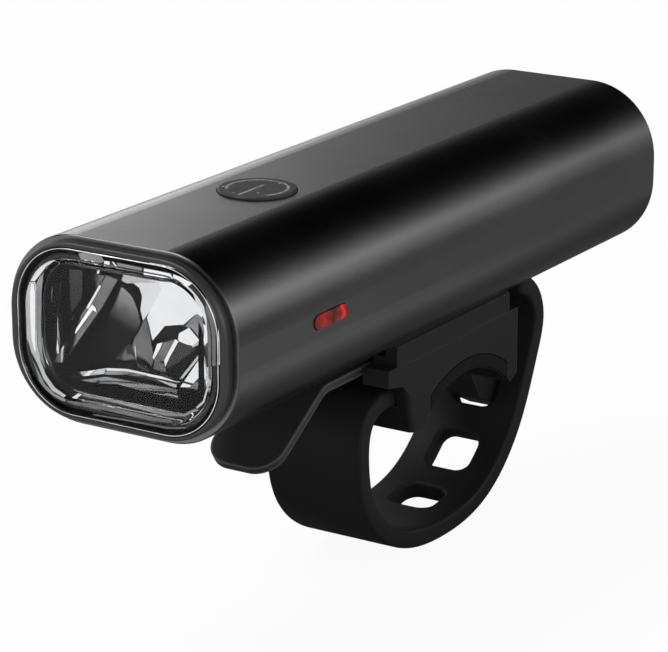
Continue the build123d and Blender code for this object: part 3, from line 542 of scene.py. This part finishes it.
def strap_band():
    """The plate laid along the loop, with the eye that holds the strap's pin."""
    loop_points = [(y * strap_reach, z * neck_height) for y, z in loop_shares]
    line = smooth_loop(numpy.array([(-neck_reach, neck_height)] + loop_points))
    line = numpy.concatenate([[pin_place], line])
    steps = numpy.linalg.norm(numpy.diff(line, axis=0), axis=1)
    runs = numpy.concatenate([[0.0], numpy.cumsum(steps)])
    slopes = numpy.gradient(line, runs, axis=0)
    slopes /= numpy.linalg.norm(slopes, axis=1)[:, None]
    bm = bmesh.new()
    bm.from_mesh(strap_plate(runs[-1]))
    bmesh.ops.remove_doubles(bm, verts=bm.verts, dist=0.001)
    for number in range(1, int(runs[-1] / bend_step)):
        bmesh.ops.bisect_plane(
            bm, geom=bm.verts[:] + bm.edges[:] + bm.faces[:], plane_co=(0, number * bend_step, 0),
            plane_no=(0, 1, 0))
    for vertex in bm.verts:
        across, along, out = vertex.co
        y, z = (numpy.interp(along, runs, line[:, axis]) for axis in (0, 1))
        slope_y, slope_z = (numpy.interp(along, runs, slopes[:, axis]) for axis in (0, 1))
        vertex.co = (across * MM, (y + out * slope_z) * MM, (z - out * slope_y) * MM)
    bmesh.ops.recalc_face_normals(bm, faces=bm.faces)
    verts = [v.co.copy() for v in bm.verts]
    bm.verts.index_update()
    faces = [[v.index for v in f.verts] for f in bm.faces]
    bm.free()
    faces += loft(eye_count, len(eye_profile), first=len(verts), closed=True)
    for turn in range(eye_count):
        angle = 2 * math.pi * turn / eye_count
        for radius, x in eye_profile:
            y, z = pin_place[0] + radius * math.cos(angle), pin_place[1] + radius * math.sin(angle)
            verts.append((x * MM, y * MM, z * MM))
    return piece("strap_band", verts, faces, "bracket", [materials["strap_rubber"]])


strap_piece = strap_band()
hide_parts("strap")

# Saddle pad: a liner of even thickness with soft edges, in an arc about the handlebar's axis
pad_inner, pad_outer, pad_half = 17.5, 19.7, 9.9
pad_front, pad_rear = -10.0, 11.7
pad_steps, pad_edge = 40, 0.25
pad_bevel_angle, pad_smooth_angle = 40, 30


def pad_arc(radius, start, end):
    """Points of an arc about the handlebar's axis, between two places along Y."""
    first, last = math.asin(start / radius), math.asin(end / radius)
    angles = [first + (last - first) * k / pad_steps for k in range(pad_steps + 1)]
    return [(radius * math.sin(angle), radius * math.cos(angle)) for angle in angles]


def saddle_liner():
    """The saddle's pad, with its long edges and its ends softened."""
    outline = pad_arc(pad_outer, pad_front, pad_rear) + pad_arc(pad_inner, pad_rear, pad_front)
    verts = in_metres([(x, y, z) for x in (-pad_half, pad_half) for y, z in outline])
    size = len(outline)
    faces = loft(2, size)
    for side in (0, size):
        for k in range(pad_steps):
            faces.append([side + k, side + k + 1, side + size - 2 - k, side + size - 1 - k])
    thing = piece("saddle_liner", verts, faces, "bracket", [materials["pad_rubber"]])
    bm = bmesh.new()
    bm.from_mesh(thing.data)
    bmesh.ops.recalc_face_normals(bm, faces=bm.faces)
    limit = math.radians(pad_bevel_angle)
    sharp = [e for e in bm.edges if len(e.link_faces) == 2 and e.calc_face_angle() > limit]
    bmesh.ops.bevel(bm, geom=sharp, offset=pad_edge * MM, segments=3, affect="EDGES", clamp_overlap=True)
    bm.to_mesh(thing.data)
    bm.free()
    thing.data.set_sharp_from_angle(angle=math.radians(pad_smooth_angle))
    return thing


pad_piece = saddle_liner()
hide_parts("saddle_pad")

# Front lens: a clear cup with a beaded rim, a raised window and a skirt inside the bezel.
# Each point of its profile has its inset from the rim and its place along Y.
lens_low, lens_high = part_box("front_lens")
lens_width, lens_height = ((lens_high[k] - lens_low[k]) / MM for k in (0, 2))
lens_corner, lens_steps = 8.2, 16
axis_height = (lens_low[2] + lens_high[2]) / 2 / MM
lens_profile = [
    (2.32, -67.72), (2.32, -66.05), (2.22, -65.92), (1.76, -65.92), (1.66, -66.05), (1.66, -67.74),
    (1.55, -67.8), (0.1, -67.8), (0.0, -67.86), (0.0, -68.36), (0.06, -68.46), (0.16, -68.5),
    (0.34, -68.6), (0.50, -68.62), (0.66, -68.58), (0.82, -68.48), (1.0, -68.42), (1.24, -68.42),
    (1.40, -68.5), (1.50, -68.66), (1.58, -68.84), (1.70, -68.96), (1.88, -69.03), (2.1, -69.05),
]


def inset_outline(width, height, corner, inset, count):
    """A rounded outline about the light's axis, drawn in by an inset, as pairs of X and Z."""
    outline = rounded(width - 2 * inset, height - 2 * inset, corner - inset, count)
    return [(x, z + axis_height) for x, z in outline]


def lens_cup():
    """The front lens: its profile led round its outline, closed at both ends."""
    points = [(x, y, z) for inset, y in lens_profile
              for x, z in inset_outline(lens_width, lens_height, lens_corner, inset, lens_steps)]
    size = len(points) // len(lens_profile)
    faces = loft(len(lens_profile), size)
    faces.append(list(range(size)))
    faces.append(list(range(len(points) - size, len(points))))
    thing = piece(
        "lens_cup", in_metres(points), faces, "light", [materials["lens_clear"]], smooth=50.0)
    bm = bmesh.new()
    bm.from_mesh(thing.data)
    bmesh.ops.remove_doubles(bm, verts=bm.verts, dist=1e-7)
    bmesh.ops.recalc_face_normals(bm, faces=bm.faces)
    bm.to_mesh(thing.data)
    bm.free()
    return thing


lens_piece = lens_cup()
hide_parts("front_lens")

# A painted highlight round the lens's rim: a thin bright mirror ring
glint_inset, glint_place, glint_radius, glint_sides = 0.12, -68.5, 0.09, 6


def edge_ring():
    """A thin ring of round section along the lens's outline."""
    outline = inset_outline(lens_width, lens_height, lens_corner, glint_inset, lens_steps)
    points = []
    for k, (x, z) in enumerate(outline):
        before, after = outline[k - 1], outline[(k + 1) % len(outline)]
        along_x, along_z = after[0] - before[0], after[1] - before[1]
        length = math.hypot(along_x, along_z)
        for side in range(glint_sides):
            turn = 2 * math.pi * side / glint_sides
            out, front = glint_radius * math.cos(turn), glint_radius * math.sin(turn)
            points.append((x + out * along_z / length, glint_place - front, z - out * along_x / length))
    faces = loft(len(outline), glint_sides, closed=True)
    return piece(
        "lens_rim_highlight", in_metres(points), faces, "light", [materials["edge_glint"]], smooth=60.0)


edge_ring()

# Outlines behind the lens, traced in a crop of the photograph enlarged 8 times: each has its
# tone and its corners in pixels of the enlarged crop, whose own corner lies at crop_left, crop_top
# The tones are painted light: painted reflections on the mirror facets, and painted shade in the dark ones
crop_left, crop_top, crop_scale = 30, 240, 8

# Panels: each corner has its depth too, in millimetres along Y
left_panels = [
    ("black", [
        (120, 215, -65), (275, 205, -65), (275, 560, -65), (262, 800, -65), (205, 975, -65),
        (130, 900, -65),
    ]),
    ("smoke", [
        (115, 300, -65.1), (160, 290, -65.1), (165, 800, -65.1), (180, 940, -65.1), (150, 900, -65.1),
    ]),
    ("white", [(178, 330, -65.15), (222, 330, -65.15), (238, 900, -65.15), (197, 920, -65.15)]),
    ("mid", [(225, 335, -65.15), (243, 335, -65.15), (249, 870, -65.15), (238, 875, -65.15)]),
    ("white", [(246, 330, -65.2), (262, 330, -65.2), (268, 790, -65.2), (256, 830, -65.2)]),
    ("smoke", [(275, 235, -62.6), (430, 250, -61.8), (420, 480, -61.8), (290, 640, -62.6)]),
    ("grey", [
        (430, 250, -61.8), (600, 290, -61.6), (560, 370, -61.6), (470, 490, -61.8), (380, 540, -62),
        (415, 440, -61.9),
    ]),
    ("light", [(380, 535, -62.6), (400, 500, -62.6), (470, 478, -62.4), (450, 520, -62.4)]),
    ("white", [
        (330, 650, -62.9), (345, 610, -62.9), (450, 540, -62.5), (440, 565, -62.5), (375, 630, -62.7),
    ]),
    ("white", [
        (400, 200, -62.9), (430, 205, -62.8), (495, 225, -62.7), (480, 255, -62.7), (440, 252, -62.8),
        (405, 232, -62.9),
    ]),
    ("white", [(538, 225, -62.8), (562, 232, -62.8), (556, 276, -62.8), (536, 270, -62.8)]),
]
right_panels = [
    ("mid", [
        (690, 330, -62.4), (720, 345, -62.2), (800, 420, -61.9), (870, 540, -61.6), (888, 650, -61.5),
        (880, 665, -61.4), (858, 560, -61.5), (812, 455, -61.6), (755, 395, -61.9), (688, 365, -62.3),
    ]),
    ("black", [
        (705, 330, -62.5), (790, 360, -62.2), (845, 420, -62), (868, 500, -61.8), (866, 530, -61.7),
        (820, 440, -62), (760, 385, -62.2),
    ]),
    ("light", [
        (700, 290, -62.8), (900, 320, -62.4), (1000, 335, -62.3), (1000, 350, -62.2), (860, 350, -62.3),
        (780, 350, -62.4), (720, 318, -62.7),
    ]),
    ("pale", [
        (820, 345, -62.3), (1000, 338, -62.2), (1062, 385, -61.9), (955, 575, -61.6), (890, 672, -61.5),
        (880, 610, -61.6), (900, 460, -61.9), (880, 385, -62.1),
    ]),
    ("white", [
        (1000, 345, -62.2), (1180, 372, -62.3), (1300, 440, -62.4), (1345, 515, -62.6), (1345, 575, -62.5),
        (1215, 690, -61.9), (1080, 690, -61.7), (985, 805, -61.5), (938, 622, -61.5), (960, 565, -61.6),
        (1062, 385, -61.9),
    ]),
    ("mid", [(1345, 575, -62.7), (1345, 770, -62.7), (1300, 720, -62.5), (1235, 690, -62.3)]),
    ("dark", [
        (1062, 735, -62.1), (1090, 695, -62.1), (1215, 683, -62.3), (1200, 705, -62.3), (1130, 740, -62.2),
        (1000, 806, -61.9), (990, 800, -61.9),
    ]),
    ("grey", [
        (930, 622, -61.8), (950, 700, -61.8), (978, 830, -61.8), (990, 950, -61.9), (960, 1045, -62),
        (870, 1015, -62), (848, 930, -61.9), (822, 850, -61.8), (850, 752, -61.7), (885, 680, -61.6),
    ]),
    ("smoke", [
        (770, 845, -61.8), (800, 830, -61.8), (830, 870, -61.9), (850, 960, -62), (870, 1030, -62.1),
        (640, 1010, -62.2), (650, 985, -62.1),
    ]),
    ("grey", [
        (740, 880, -62), (775, 850, -61.9), (790, 900, -62), (845, 930, -62.1), (830, 965, -62.2),
        (745, 975, -62.2),
    ]),
    ("light", [
        (838, 850, -62), (848, 850, -62), (862, 950, -62.1), (880, 1010, -62.2), (950, 1040, -62.2),
        (945, 1050, -62.2), (868, 1020, -62.2), (850, 950, -62.1),
    ]),
    ("white", [
        (1190, 745, -62.5), (1275, 705, -62.7), (1345, 800, -62.9), (1320, 850, -62.9), (1260, 838, -62.7),
        (1180, 808, -62.5),
    ]),
    ("light", [(1345, 805, -63), (1345, 840, -63), (1300, 862, -63), (1290, 850, -63)]),
    ("grey", [
        (1055, 825, -62.3), (1130, 800, -62.4), (1170, 790, -62.4), (1085, 960, -62.4), (1000, 985, -62.2),
        (995, 960, -62.2),
    ]),
    ("white", [
        (1020, 830, -62.5), (1060, 820, -62.5), (1040, 870, -62.4), (995, 955, -62.3), (980, 935, -62.3),
    ]),
    ("white", [
        (1160, 790, -62.7), (1192, 810, -62.7), (1120, 930, -62.6), (1095, 985, -62.6),
        (1082, 1010, -62.6), (1075, 965, -62.6),
    ]),
    ("smoke", [
        (1195, 815, -62.6), (1335, 845, -62.8), (1330, 875, -62.8), (1100, 1030, -62.5),
        (1090, 1005, -62.5), (1125, 930, -62.5),
    ]),
    ("black", [
        (1345, 865, -62.9), (1345, 915, -62.9), (1185, 1120, -62.6), (1100, 1085, -62.5),
        (1085, 1045, -62.5),
    ]),
    ("grey", [
        (1000, 975, -62.3), (1075, 985, -62.4), (1090, 1050, -62.5), (1180, 1080, -62.6),
        (1160, 1110, -62.6), (985, 1060, -62.3),
    ]),
    ("light", [(1345, 920, -63.3), (1345, 960, -63.3), (1190, 1165, -63.1), (1172, 1140, -63)]),
    ("black", [(1345, 948, -63.4), (1345, 962, -63.4), (1196, 1160, -63.2), (1190, 1150, -63.2)]),
    ("white", [(1345, 965, -63.3), (1345, 1110, -63.3), (1280, 1170, -63.2), (1200, 1175, -63.1)]),
    ("mid", [(1345, 1100, -63.35), (1345, 1200, -63.3), (1210, 1182, -63.1), (1290, 1160, -63.3)]),
]

# Slanted bar, which comes forward from its top to its foot: each facet has its lift from the bar's depth
bar_top, bar_foot = 285, 978
bar_top_depth, bar_rise = -62.9, -2.4
bar_facets = [
    ("grey", 0, [
        (620, 285), (700, 325), (590, 520), (310, 925), (265, 978), (203, 968), (330, 735), (560, 372),
    ]),
    ("white", -0.1, [(560, 365), (572, 375), (470, 550), (455, 545)]),
    ("white", -0.1, [(500, 520), (530, 545), (536, 580), (505, 560), (372, 745), (352, 745)]),
    ("light", -0.1, [(325, 790), (350, 745), (300, 850), (262, 978), (203, 968), (240, 885)]),
    ("mid", -0.1, [(560, 600), (572, 590), (330, 915), (300, 932)]),
]

# Gable, the large dim facet in the middle, with a painted reflection that fades towards its foot
gable_depth = -62.3
gable_outline = [
    (690, 362), (755, 392), (815, 452), (862, 560), (882, 660), (850, 745), (770, 842), (640, 990),
    (470, 1012), (285, 975), (420, 770), (600, 505),
]

# Ledge at the bowl's foot, which steps back from left to right: each facet has its lift from its depth
ledge_left, ledge_right = 610, 938
ledge_left_depth, ledge_fall = -65.25, 2.3
ledge_facets = [
    ("light", 0, [(350, 1058), (480, 1045), (610, 1020), (600, 1070), (540, 1075), (352, 1098)]),
    ("white", -0.05, [(480, 1046), (530, 1040), (480, 1082), (440, 1088)]),
    ("pale", 0, [(610, 1020), (780, 1030), (938, 1062), (938, 1080), (780, 1048), (618, 1040)]),
    ("mid", 0, [(618, 1040), (780, 1048), (938, 1080), (938, 1105), (780, 1078), (600, 1072)]),
    ("white", -0.05, [(938, 1062), (1060, 1090), (1182, 1135), (1175, 1150), (938, 1082)]),
    ("light", 0, [(938, 1084), (1175, 1152), (1170, 1176), (938, 1106)]),
    ("black", 0.05, [
        (352, 1098), (600, 1074), (938, 1108), (1170, 1178), (1180, 1192), (938, 1122), (600, 1088),
        (375, 1118),
    ]),
    ("mid", 0.2, [
        (400, 1118), (610, 1088), (940, 1122), (1182, 1192), (1190, 1272), (1080, 1245), (880, 1195),
        (700, 1150), (560, 1140),
    ]),
    ("light", 0.1, [(880, 1165), (960, 1180), (1185, 1240), (1188, 1272), (1000, 1225), (860, 1185)]),
]

# Foot of the bowl, under the ledge, in painted shade
foot_depth = -62.25
foot_facets = [
    ("black", [
        (330, 1110), (560, 1142), (880, 1197), (1190, 1275), (1345, 1310), (1330, 1400), (900, 1320),
        (420, 1225),
    ]),
    ("smoke", [(200, 990), (470, 1012), (480, 1040), (350, 1060), (345, 1105), (420, 1225), (250, 1150)]),
]

# Light patches that the lens's rim and step catch
rim_depth, rim_white_depth = -68.2, -68.25
rim_outlines = [
    ("light", [
        (-25, 420), (-5, 340), (42, 335), (56, 400), (56, 700), (64, 850), (88, 960), (60, 985), (14, 900),
        (-14, 800), (-26, 600),
    ]),
    ("white", [
        (0, 420), (12, 350), (30, 350), (42, 420), (42, 700), (44, 830), (50, 900), (34, 880), (14, 790),
        (2, 600),
    ]),
    ("pale", [(0, 330), (55, 245), (120, 192), (190, 168), (200, 178), (130, 215), (80, 280), (40, 330)]),
    ("mid", [
        (55, 340), (85, 290), (110, 260), (95, 400), (90, 700), (100, 900), (125, 1030), (85, 955),
        (60, 850), (53, 700), (53, 400),
    ]),
    ("light", [
        (60, 985), (85, 965), (130, 1080), (200, 1180), (290, 1245), (270, 1258), (180, 1205), (110, 1110),
    ]),
    ("mid", [
        (20, 960), (55, 1020), (120, 1150), (200, 1230), (290, 1275), (280, 1290), (170, 1240), (90, 1150),
    ]),
    ("pale", [(335, 1262), (390, 1225), (415, 1235), (372, 1270)]),
    ("grey", [
        (300, 1283), (600, 1325), (1000, 1418), (1130, 1440), (1125, 1462), (990, 1445), (600, 1358),
        (290, 1303),
    ]),
    ("mid", [
        (420, 1232), (700, 1292), (1100, 1385), (1230, 1390), (1325, 1348), (1342, 1358), (1240, 1412),
        (1090, 1407), (700, 1308), (420, 1248),
    ]),
    ("grey", [
        (500, 1395), (800, 1445), (1100, 1500), (1240, 1500), (1240, 1512), (1090, 1515), (800, 1458),
        (500, 1405),
    ]),
    ("white", [(905, 228), (1000, 245), (1120, 270), (1132, 305), (1060, 312), (903, 287)]),
    ("white", [(1142, 275), (1200, 300), (1290, 352), (1262, 372), (1190, 346), (1135, 318)]),
    ("pale", [(950, 185), (1100, 203), (1215, 240), (1205, 252), (1090, 225), (950, 202)]),
    ("mid", [(690, 180), (890, 222), (888, 262), (700, 238)]),
    ("white", [(588, 168), (632, 172), (628, 215), (585, 212)]),
    ("white", [(650, 175), (662, 175), (700, 232), (685, 232)]),
    ("mid", [(385, 110), (470, 105), (560, 130), (590, 165), (560, 190), (470, 180), (400, 160)]),
    ("white", [(430, 160), (450, 162), (455, 185), (428, 182)]),
    ("white", [(480, 170), (500, 172), (540, 205), (515, 205)]),
    ("grey", [(1400, 450), (1440, 475), (1478, 600), (1480, 1010), (1418, 1015), (1405, 700)]),
    ("pale", [(1482, 615), (1500, 620), (1508, 700), (1508, 1000), (1498, 1000), (1494, 700)]),
    ("light", [
        (1404, 1020), (1416, 1020), (1416, 1180), (1384, 1295), (1332, 1348), (1325, 1340), (1374, 1286),
        (1403, 1178),
    ]),
]

# Backing, a dark sheet of painted shade, and the panels on the side that the photograph hides,
# toned as painted reflections, in millimetres
backing = ("dark", [(-13.4, -60.4, 30.0), (13.4, -60.4, 30.0), (13.4, -60.4, 47.7), (-13.4, -60.4, 47.7)])
hidden_panels = [
    ("pale", [(8.9, -62.6, 46.3), (12.0, -62.9, 45.2), (12.7, -63.0, 38.5), (8.9, -62.6, 41.0)]),
    ("grey", [(8.9, -62.6, 41.0), (12.7, -63.0, 38.5), (12.7, -63.0, 34.0), (8.9, -62.6, 35.5)]),
    ("light", [(8.9, -62.6, 35.5), (12.7, -63.0, 34.0), (11.6, -63.0, 32.4), (8.9, -62.6, 32.2)]),
]

# How a traced corner finds its place: a small shift of all corners, the middle plane that the deeper
# panels are drawn to, and the outline of the bowl's mouth, which panels and bar stay inside
trace_shift = numpy.array((0.15, 0.0, 0.09))
panel_plane, panel_spread, panel_front = -62.2, 0.35, -64.2
mouth_half_width, mouth_half_height, mouth_corner, mouth_front = 12.75, 8.4, 6.0, -65.5
sight_step, shrink = 0.05, 0.995


def sighted(x, y, depth):
    """The point at a depth that a pixel of the enlarged crop shows, and the line of sight to it."""
    across, down = crop_left + x / crop_scale, crop_top + y / crop_scale
    aside = camera_right * (across - frame_width / 2) / focal_px
    above = camera_up * (frame_height / 2 - down) / focal_px
    sight = -camera_back + aside + above
    return camera_place + (depth - camera_place[1]) / sight[1] * sight + trace_shift, sight


def beyond_mouth(point):
    """How far a point lies outside the mouth's rounded outline, or less than 0 inside it."""
    side = abs(point[0]) - (mouth_half_width - mouth_corner)
    rise = abs(point[2] - axis_height) - (mouth_half_height - mouth_corner)
    if side <= 0 or rise <= 0:
        return max(side, rise) - mouth_corner
    return (side * side + rise * rise) ** 0.5 - mouth_corner


def held(x, y, depth):
    """A sighted point, drawn towards the camera and then to the axis until the mouth holds it."""
    point, sight = sighted(x, y, depth)
    while beyond_mouth(point) > 0 and point[1] > mouth_front:
        point = point - sight_step * sight
    while beyond_mouth(point) > 0:
        point[0] *= shrink
        point[2] = axis_height + (point[2] - axis_height) * shrink
    return point


def snapped(points, digits=1):
    """Points whose places are kept to a few decimals of a millimetre."""
    return [tuple(round(float(value), digits) for value in point) for point in points]


def panel_facets(panels):
    """Panels, with the depths of the deeper ones drawn to the middle plane."""
    facets = []
    for tone, corners in panels:
        points = []
        for x, y, depth in corners:
            drawn = panel_plane + panel_spread * (depth - panel_plane)
            points.append(held(x, y, drawn if depth > panel_front else depth))
        facets.append((tone, snapped(points)))
    return facets


def bar_depth(y, lift):
    """The slanted bar's depth at a height in the crop, to a hundredth of a millimetre."""
    return round(bar_top_depth + bar_rise * (y - bar_top) / (bar_foot - bar_top) + lift, 2)


def ledge_depth(x, lift):
    """The ledge's depth at a place across the crop, to a hundredth of a millimetre."""
    share = min(max((x - ledge_left) / (ledge_right - ledge_left), 0), 1)
    return round(ledge_left_depth + ledge_fall * share + lift, 2)


facets = [backing] + panel_facets(left_panels)
for tone, lift, corners in bar_facets:
    facets.append((tone, snapped([held(x, y, bar_depth(y, lift)) for x, y in corners])))
facets.append(("gable", snapped([sighted(x, y, gable_depth)[0] for x, y in gable_outline])))
facets += panel_facets(right_panels)
for tone, lift, corners in ledge_facets:
    facets.append((tone, snapped([sighted(x, y, ledge_depth(x, lift))[0] for x, y in corners])))
for tone, corners in foot_facets:
    facets.append((tone, snapped([sighted(x, y, foot_depth)[0] for x, y in corners])))
facets += hidden_panels

rim_patches = []
for tone, corners in rim_outlines:
    depth = rim_white_depth if tone == "white" else rim_depth
    rim_patches.append((tone, snapped([sighted(x, y, depth)[0] for x, y in corners], 2)))


def gable_mirror():
    """A mirror coat with a painted reflection that fades from bright at its top to dark at its foot."""
    material, tree, shader = new_material("facet_gable")
    places = coordinates(tree, "Object")
    lean = maths(tree, "MULTIPLY_ADD", places["X"], 0.35, places["Z"])
    painted_fade = ramp(tree, map_range(tree, lean, 33.0 * MM, 46.0 * MM), [
        (0.0, 0.006), (0.36, 0.010), (0.52, 0.13), (0.64, 0.27), (1.0, 0.36)])
    tree.links.new(painted_fade, shader.inputs["Base Color"])
    shader.inputs["Metallic"].default_value = 1.0
    tree.links.new(spread(tree, noise(tree, 260.0, 3.0), 0.10, 0.18), shader.inputs["Roughness"])
    relief(tree, shader, noise(tree, 500.0, 3.0), 4e-6)
    return material


# The tones are painted reflections and painted shade on what is one mirror
# Mirror coats with faint waves: the darkest and lightest value and the roughness of each tone
tone_looks = {
    "white": (0.92, 0.97, (0.03, 0.06)),
    "pale": (0.78, 0.86, (0.05, 0.10)),
    "light": (0.50, 0.66, (0.06, 0.12)),
    "mid": (0.24, 0.34, (0.08, 0.14)),
    "grey": (0.13, 0.20, (0.08, 0.16)),
    "smoke": (0.035, 0.06, (0.08, 0.16)),
    "dark": (0.010, 0.018, (0.10, 0.2)),
    "black": (0.004, 0.008, (0.10, 0.2)),
}
tones = {}
for tone, (low, high, rough) in tone_looks.items():
    tones[tone] = surface(
        "facet_" + tone, shade(low), shade(high), rough, 500.0, 4e-6, metal=1.0, blotch=260.0)
tones["gable"] = gable_mirror()
tone_order = list(tones)


def toned_piece(name, polygons, verts=(), faces=(), kinds=()):
    """A mirror piece of flat polygons, each in its tone of painted light and shade, after any faces that it
    already has.
    """
    verts, faces, kinds = list(verts), list(faces), list(kinds)
    for tone, corners in polygons:
        faces.append(list(range(len(verts), len(verts) + len(corners))))
        verts += in_metres(corners)
        kinds.append(tone_order.index(tone))
    thing = piece(name, verts, faces, "light", list(tones.values()), smooth=20.0)
    thing.data.polygons.foreach_set("material_index", kinds)
    return thing


# Reflector: the bowl's shell in painted shade, black with a smoky lip, and the facets in it
reflector_low, reflector_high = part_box("reflector")
shell_width, shell_height = ((reflector_high[k] - reflector_low[k]) / MM for k in (0, 2))
shell_front, shell_back = reflector_low[1] / MM, reflector_high[1] / MM
shell_corner, shell_steps = 6.7, 12
shell_profile = [
    (4.0, shell_back - 1.0), (0.8, shell_back - 1.0), (0.7, shell_front + 0.1), (0.6, shell_front),
    (0.1, shell_front), (0.0, shell_front + 0.1), (0.0, shell_back), (4.0, shell_back),
]
lip_rows = (2, 3, 4)
shell_points = [(x, y, z) for inset, y in shell_profile
                for x, z in inset_outline(shell_width, shell_height, shell_corner, inset, shell_steps)]
shell_size = len(shell_points) // len(shell_profile)
shell_faces = loft(len(shell_profile), shell_size, closed=True, turned=True)
shell_kinds = [tone_order.index("smoke" if face // shell_size in lip_rows else "black")
               for face in range(len(shell_faces))]
facet_piece = toned_piece(
    "reflector_facets", facets, in_metres(shell_points), shell_faces, shell_kinds)
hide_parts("reflector")
toned_piece("lens_rim_patches", rim_patches)


# Floor, surroundings and lamp

# The share of its white that the floor gives as plain light, where the camera sees it
plain_share = 0.94


def backdrop_light(tree):
    """The floor's share of plain light: the same all over for the camera and through glass, and in what
    mirrors it shaded near the object and towards its rear, and full in front of it."""
    path = tree.nodes.new("ShaderNodeLightPath").outputs
    places = coordinates(tree, "Object")
    beside = maths(tree, "ABSOLUTE", places["X"])
    behind = maths(tree, "MULTIPLY_ADD", beside, -1.3, places["Y"])
    far_side = ramp(tree, map_range(tree, behind, -0.1, 0.1), [
        (0.10, 0.93), (0.17, 0.87), (0.40, 0.66), (0.60, 0.48), (0.83, 0.36), (1.0, 0.34)])
    near_side = ramp(tree, map_range(tree, beside, 0.0, 0.1), [
        (0.07, 0.08), (0.23, 0.11), (0.40, 0.32), (0.52, 0.75), (0.60, 0.95)])
    rearward = map_range(tree, places["Y"], 0.0, 0.12, 1.0, 0.4)
    near_side = maths(tree, "MULTIPLY", near_side, rearward)
    in_front = map_range(tree, places["Y"], -0.072, -0.0908, 0.0, plain_share)
    mirrored = maths(tree, "MAXIMUM", maths(tree, "MINIMUM", far_side, near_side), in_front)
    share = blend_colours(tree, path["Is Glossy Ray"], (plain_share, plain_share, plain_share), mirrored)
    seen = maths(tree, "MAXIMUM", path["Is Camera Ray"], path["Is Glossy Ray"])
    seen = maths(tree, "MAXIMUM", seen, path["Is Transmission Ray"])
    return maths(tree, "MULTIPLY", seen, share)


def floor_paper():
    """Pale paper that is white to the camera but for its shadows, and painted dark as shade in what mirrors
    it.
    """
    material, tree, shader = new_material("floor_paper")
    paper = tint(tree, noise(tree, 300.0, 3.0), (0.64, 0.64, 0.64), (0.66, 0.66, 0.66))
    path = tree.nodes.new("ShaderNodeLightPath").outputs
    # Painted shade: for glossy rays the paper turns dark
    paper = blend_colours(tree, path["Is Glossy Ray"], paper, (0.05, 0.05, 0.05))
    tree.links.new(paper, shader.inputs["Base Color"])
    shader.inputs["Roughness"].default_value = 0.9
    shader.inputs["Specular IOR Level"].default_value = 0.0
    glow = tree.nodes.new("ShaderNodeEmission")
    glow.inputs["Color"].default_value = (1, 1, 1, 1)
    glow.inputs["Strength"].default_value = 1.0
    mixed = tree.nodes.new("ShaderNodeMixShader")
    tree.links.new(backdrop_light(tree), mixed.inputs["Fac"])
    tree.links.new(shader.outputs["BSDF"], mixed.inputs[1])
    tree.links.new(glow.outputs["Emission"], mixed.inputs[2])
    tree.links.new(mixed.outputs["Shader"], tree.nodes["Material Output"].inputs["Surface"])
    return material


floor_gap, floor_half = 0.0004, 12.0
floor_mesh = bpy.data.meshes.new("floor")
bm = bmesh.new()
bmesh.ops.create_grid(bm, x_segments=8, y_segments=8, size=floor_half)
bm.to_mesh(floor_mesh)
bm.free()
floor = bpy.data.objects.new("floor", floor_mesh)
floor.location = (0, 0, cad_box[0][2] - floor_gap)
scene.collection.objects.link(floor)
floor_mesh.materials.append(floor_paper())

# The world's strength, which its brightest reflection needs; all else in it is a share of this
glare = 5.4


def studio_light(tree):
    """The world's colour: white to the camera, an even grey on diffuse surfaces, and in what mirrors it
    a strip of light low on each side, east and west."""
    path = tree.nodes.new("ShaderNodeLightPath").outputs
    places = coordinates(tree, "Generated")
    tilt = maths(tree, "ARCTAN2", places["Z"], places["X"])
    east = curve(tree, tilt, 0.0, 1.6, 3.6, [
        (0.0, 1.7), (0.08, 1.5), (0.17, 1.75), (0.29, 2.75), (0.36, 3.5), (0.42, 3.6), (0.50, 2.3),
        (0.60, 1.4), (0.71, 0.855), (0.81, 0.45), (0.92, 0.208), (1.02, 0.075), (1.13, 0.029),
        (1.30, 0.008), (1.5, 0.003)])
    rear_glow = curve(tree, places["Y"], 0.75, 1.0, 1.5, [
        (0.78, 1.12), (0.80, 1.0), (0.826, 0.70), (0.848, 0.48), (0.869, 0.27), (0.90, 0.14), (0.99, 0.08)])
    east = blend_colours(tree, rear_glow, BLACK, east)
    west = ramp(tree, places["Z"], [
        (0.0, 1.0), (0.26, 1.0), (0.30, 0.75), (0.38, 0.20), (0.45, 0.08), (0.52, 0.03), (0.58, 0.01)])
    squared = maths(tree, "MULTIPLY", places["Z"], places["Z"])
    level = maths(tree, "SQRT", maths(tree, "SUBTRACT", 1.0, squared))
    bearing = maths(tree, "DIVIDE", places["X"], maths(tree, "MAXIMUM", level, 0.01))
    beam = curve(tree, bearing, -0.7, -0.3, glare, [
        (-0.66, 2.0), (-0.62, 1.9), (-0.595, 1.42), (-0.57, 0.88), (-0.548, 0.53), (-0.516, 0.36),
        (-0.478, 0.22), (-0.40, 0.12)])
    west = blend_colours(tree, beam, BLACK, west)
    mirrored = blend_colours(tree, map_range(tree, bearing, -0.15, 0.15), west, east)
    even, white = 0.50 / glare, 1.0 / glare
    plain = blend_colours(tree, path["Is Diffuse Ray"], mirrored, (even, even, even))
    return blend_colours(tree, path["Is Camera Ray"], plain, (white, white, white))


world = bpy.data.worlds.new("studio")
scene.world = world
world.use_nodes = True
background = world.node_tree.nodes["Background"]
world.node_tree.links.new(studio_light(world.node_tree), background.inputs["Color"])
background.inputs["Strength"].default_value = glare

# One large soft lamp, above, in front and on the side away from the camera
key_place, key_aim, key_side, key_power = Vector((-0.35, -0.25, 0.75)), Vector((0, 0, 0.03)), 0.5, 6.0
key_data = bpy.data.lights.new("key", "AREA")
key_data.shape = "RECTANGLE"
key_data.size = key_data.size_y = key_side
key_data.energy = key_power
key = bpy.data.objects.new("key", key_data)
key.location = key_place
key.rotation_euler = (key_aim - key_place).to_track_quat("-Z", "Y").to_euler()
scene.collection.objects.link(key)
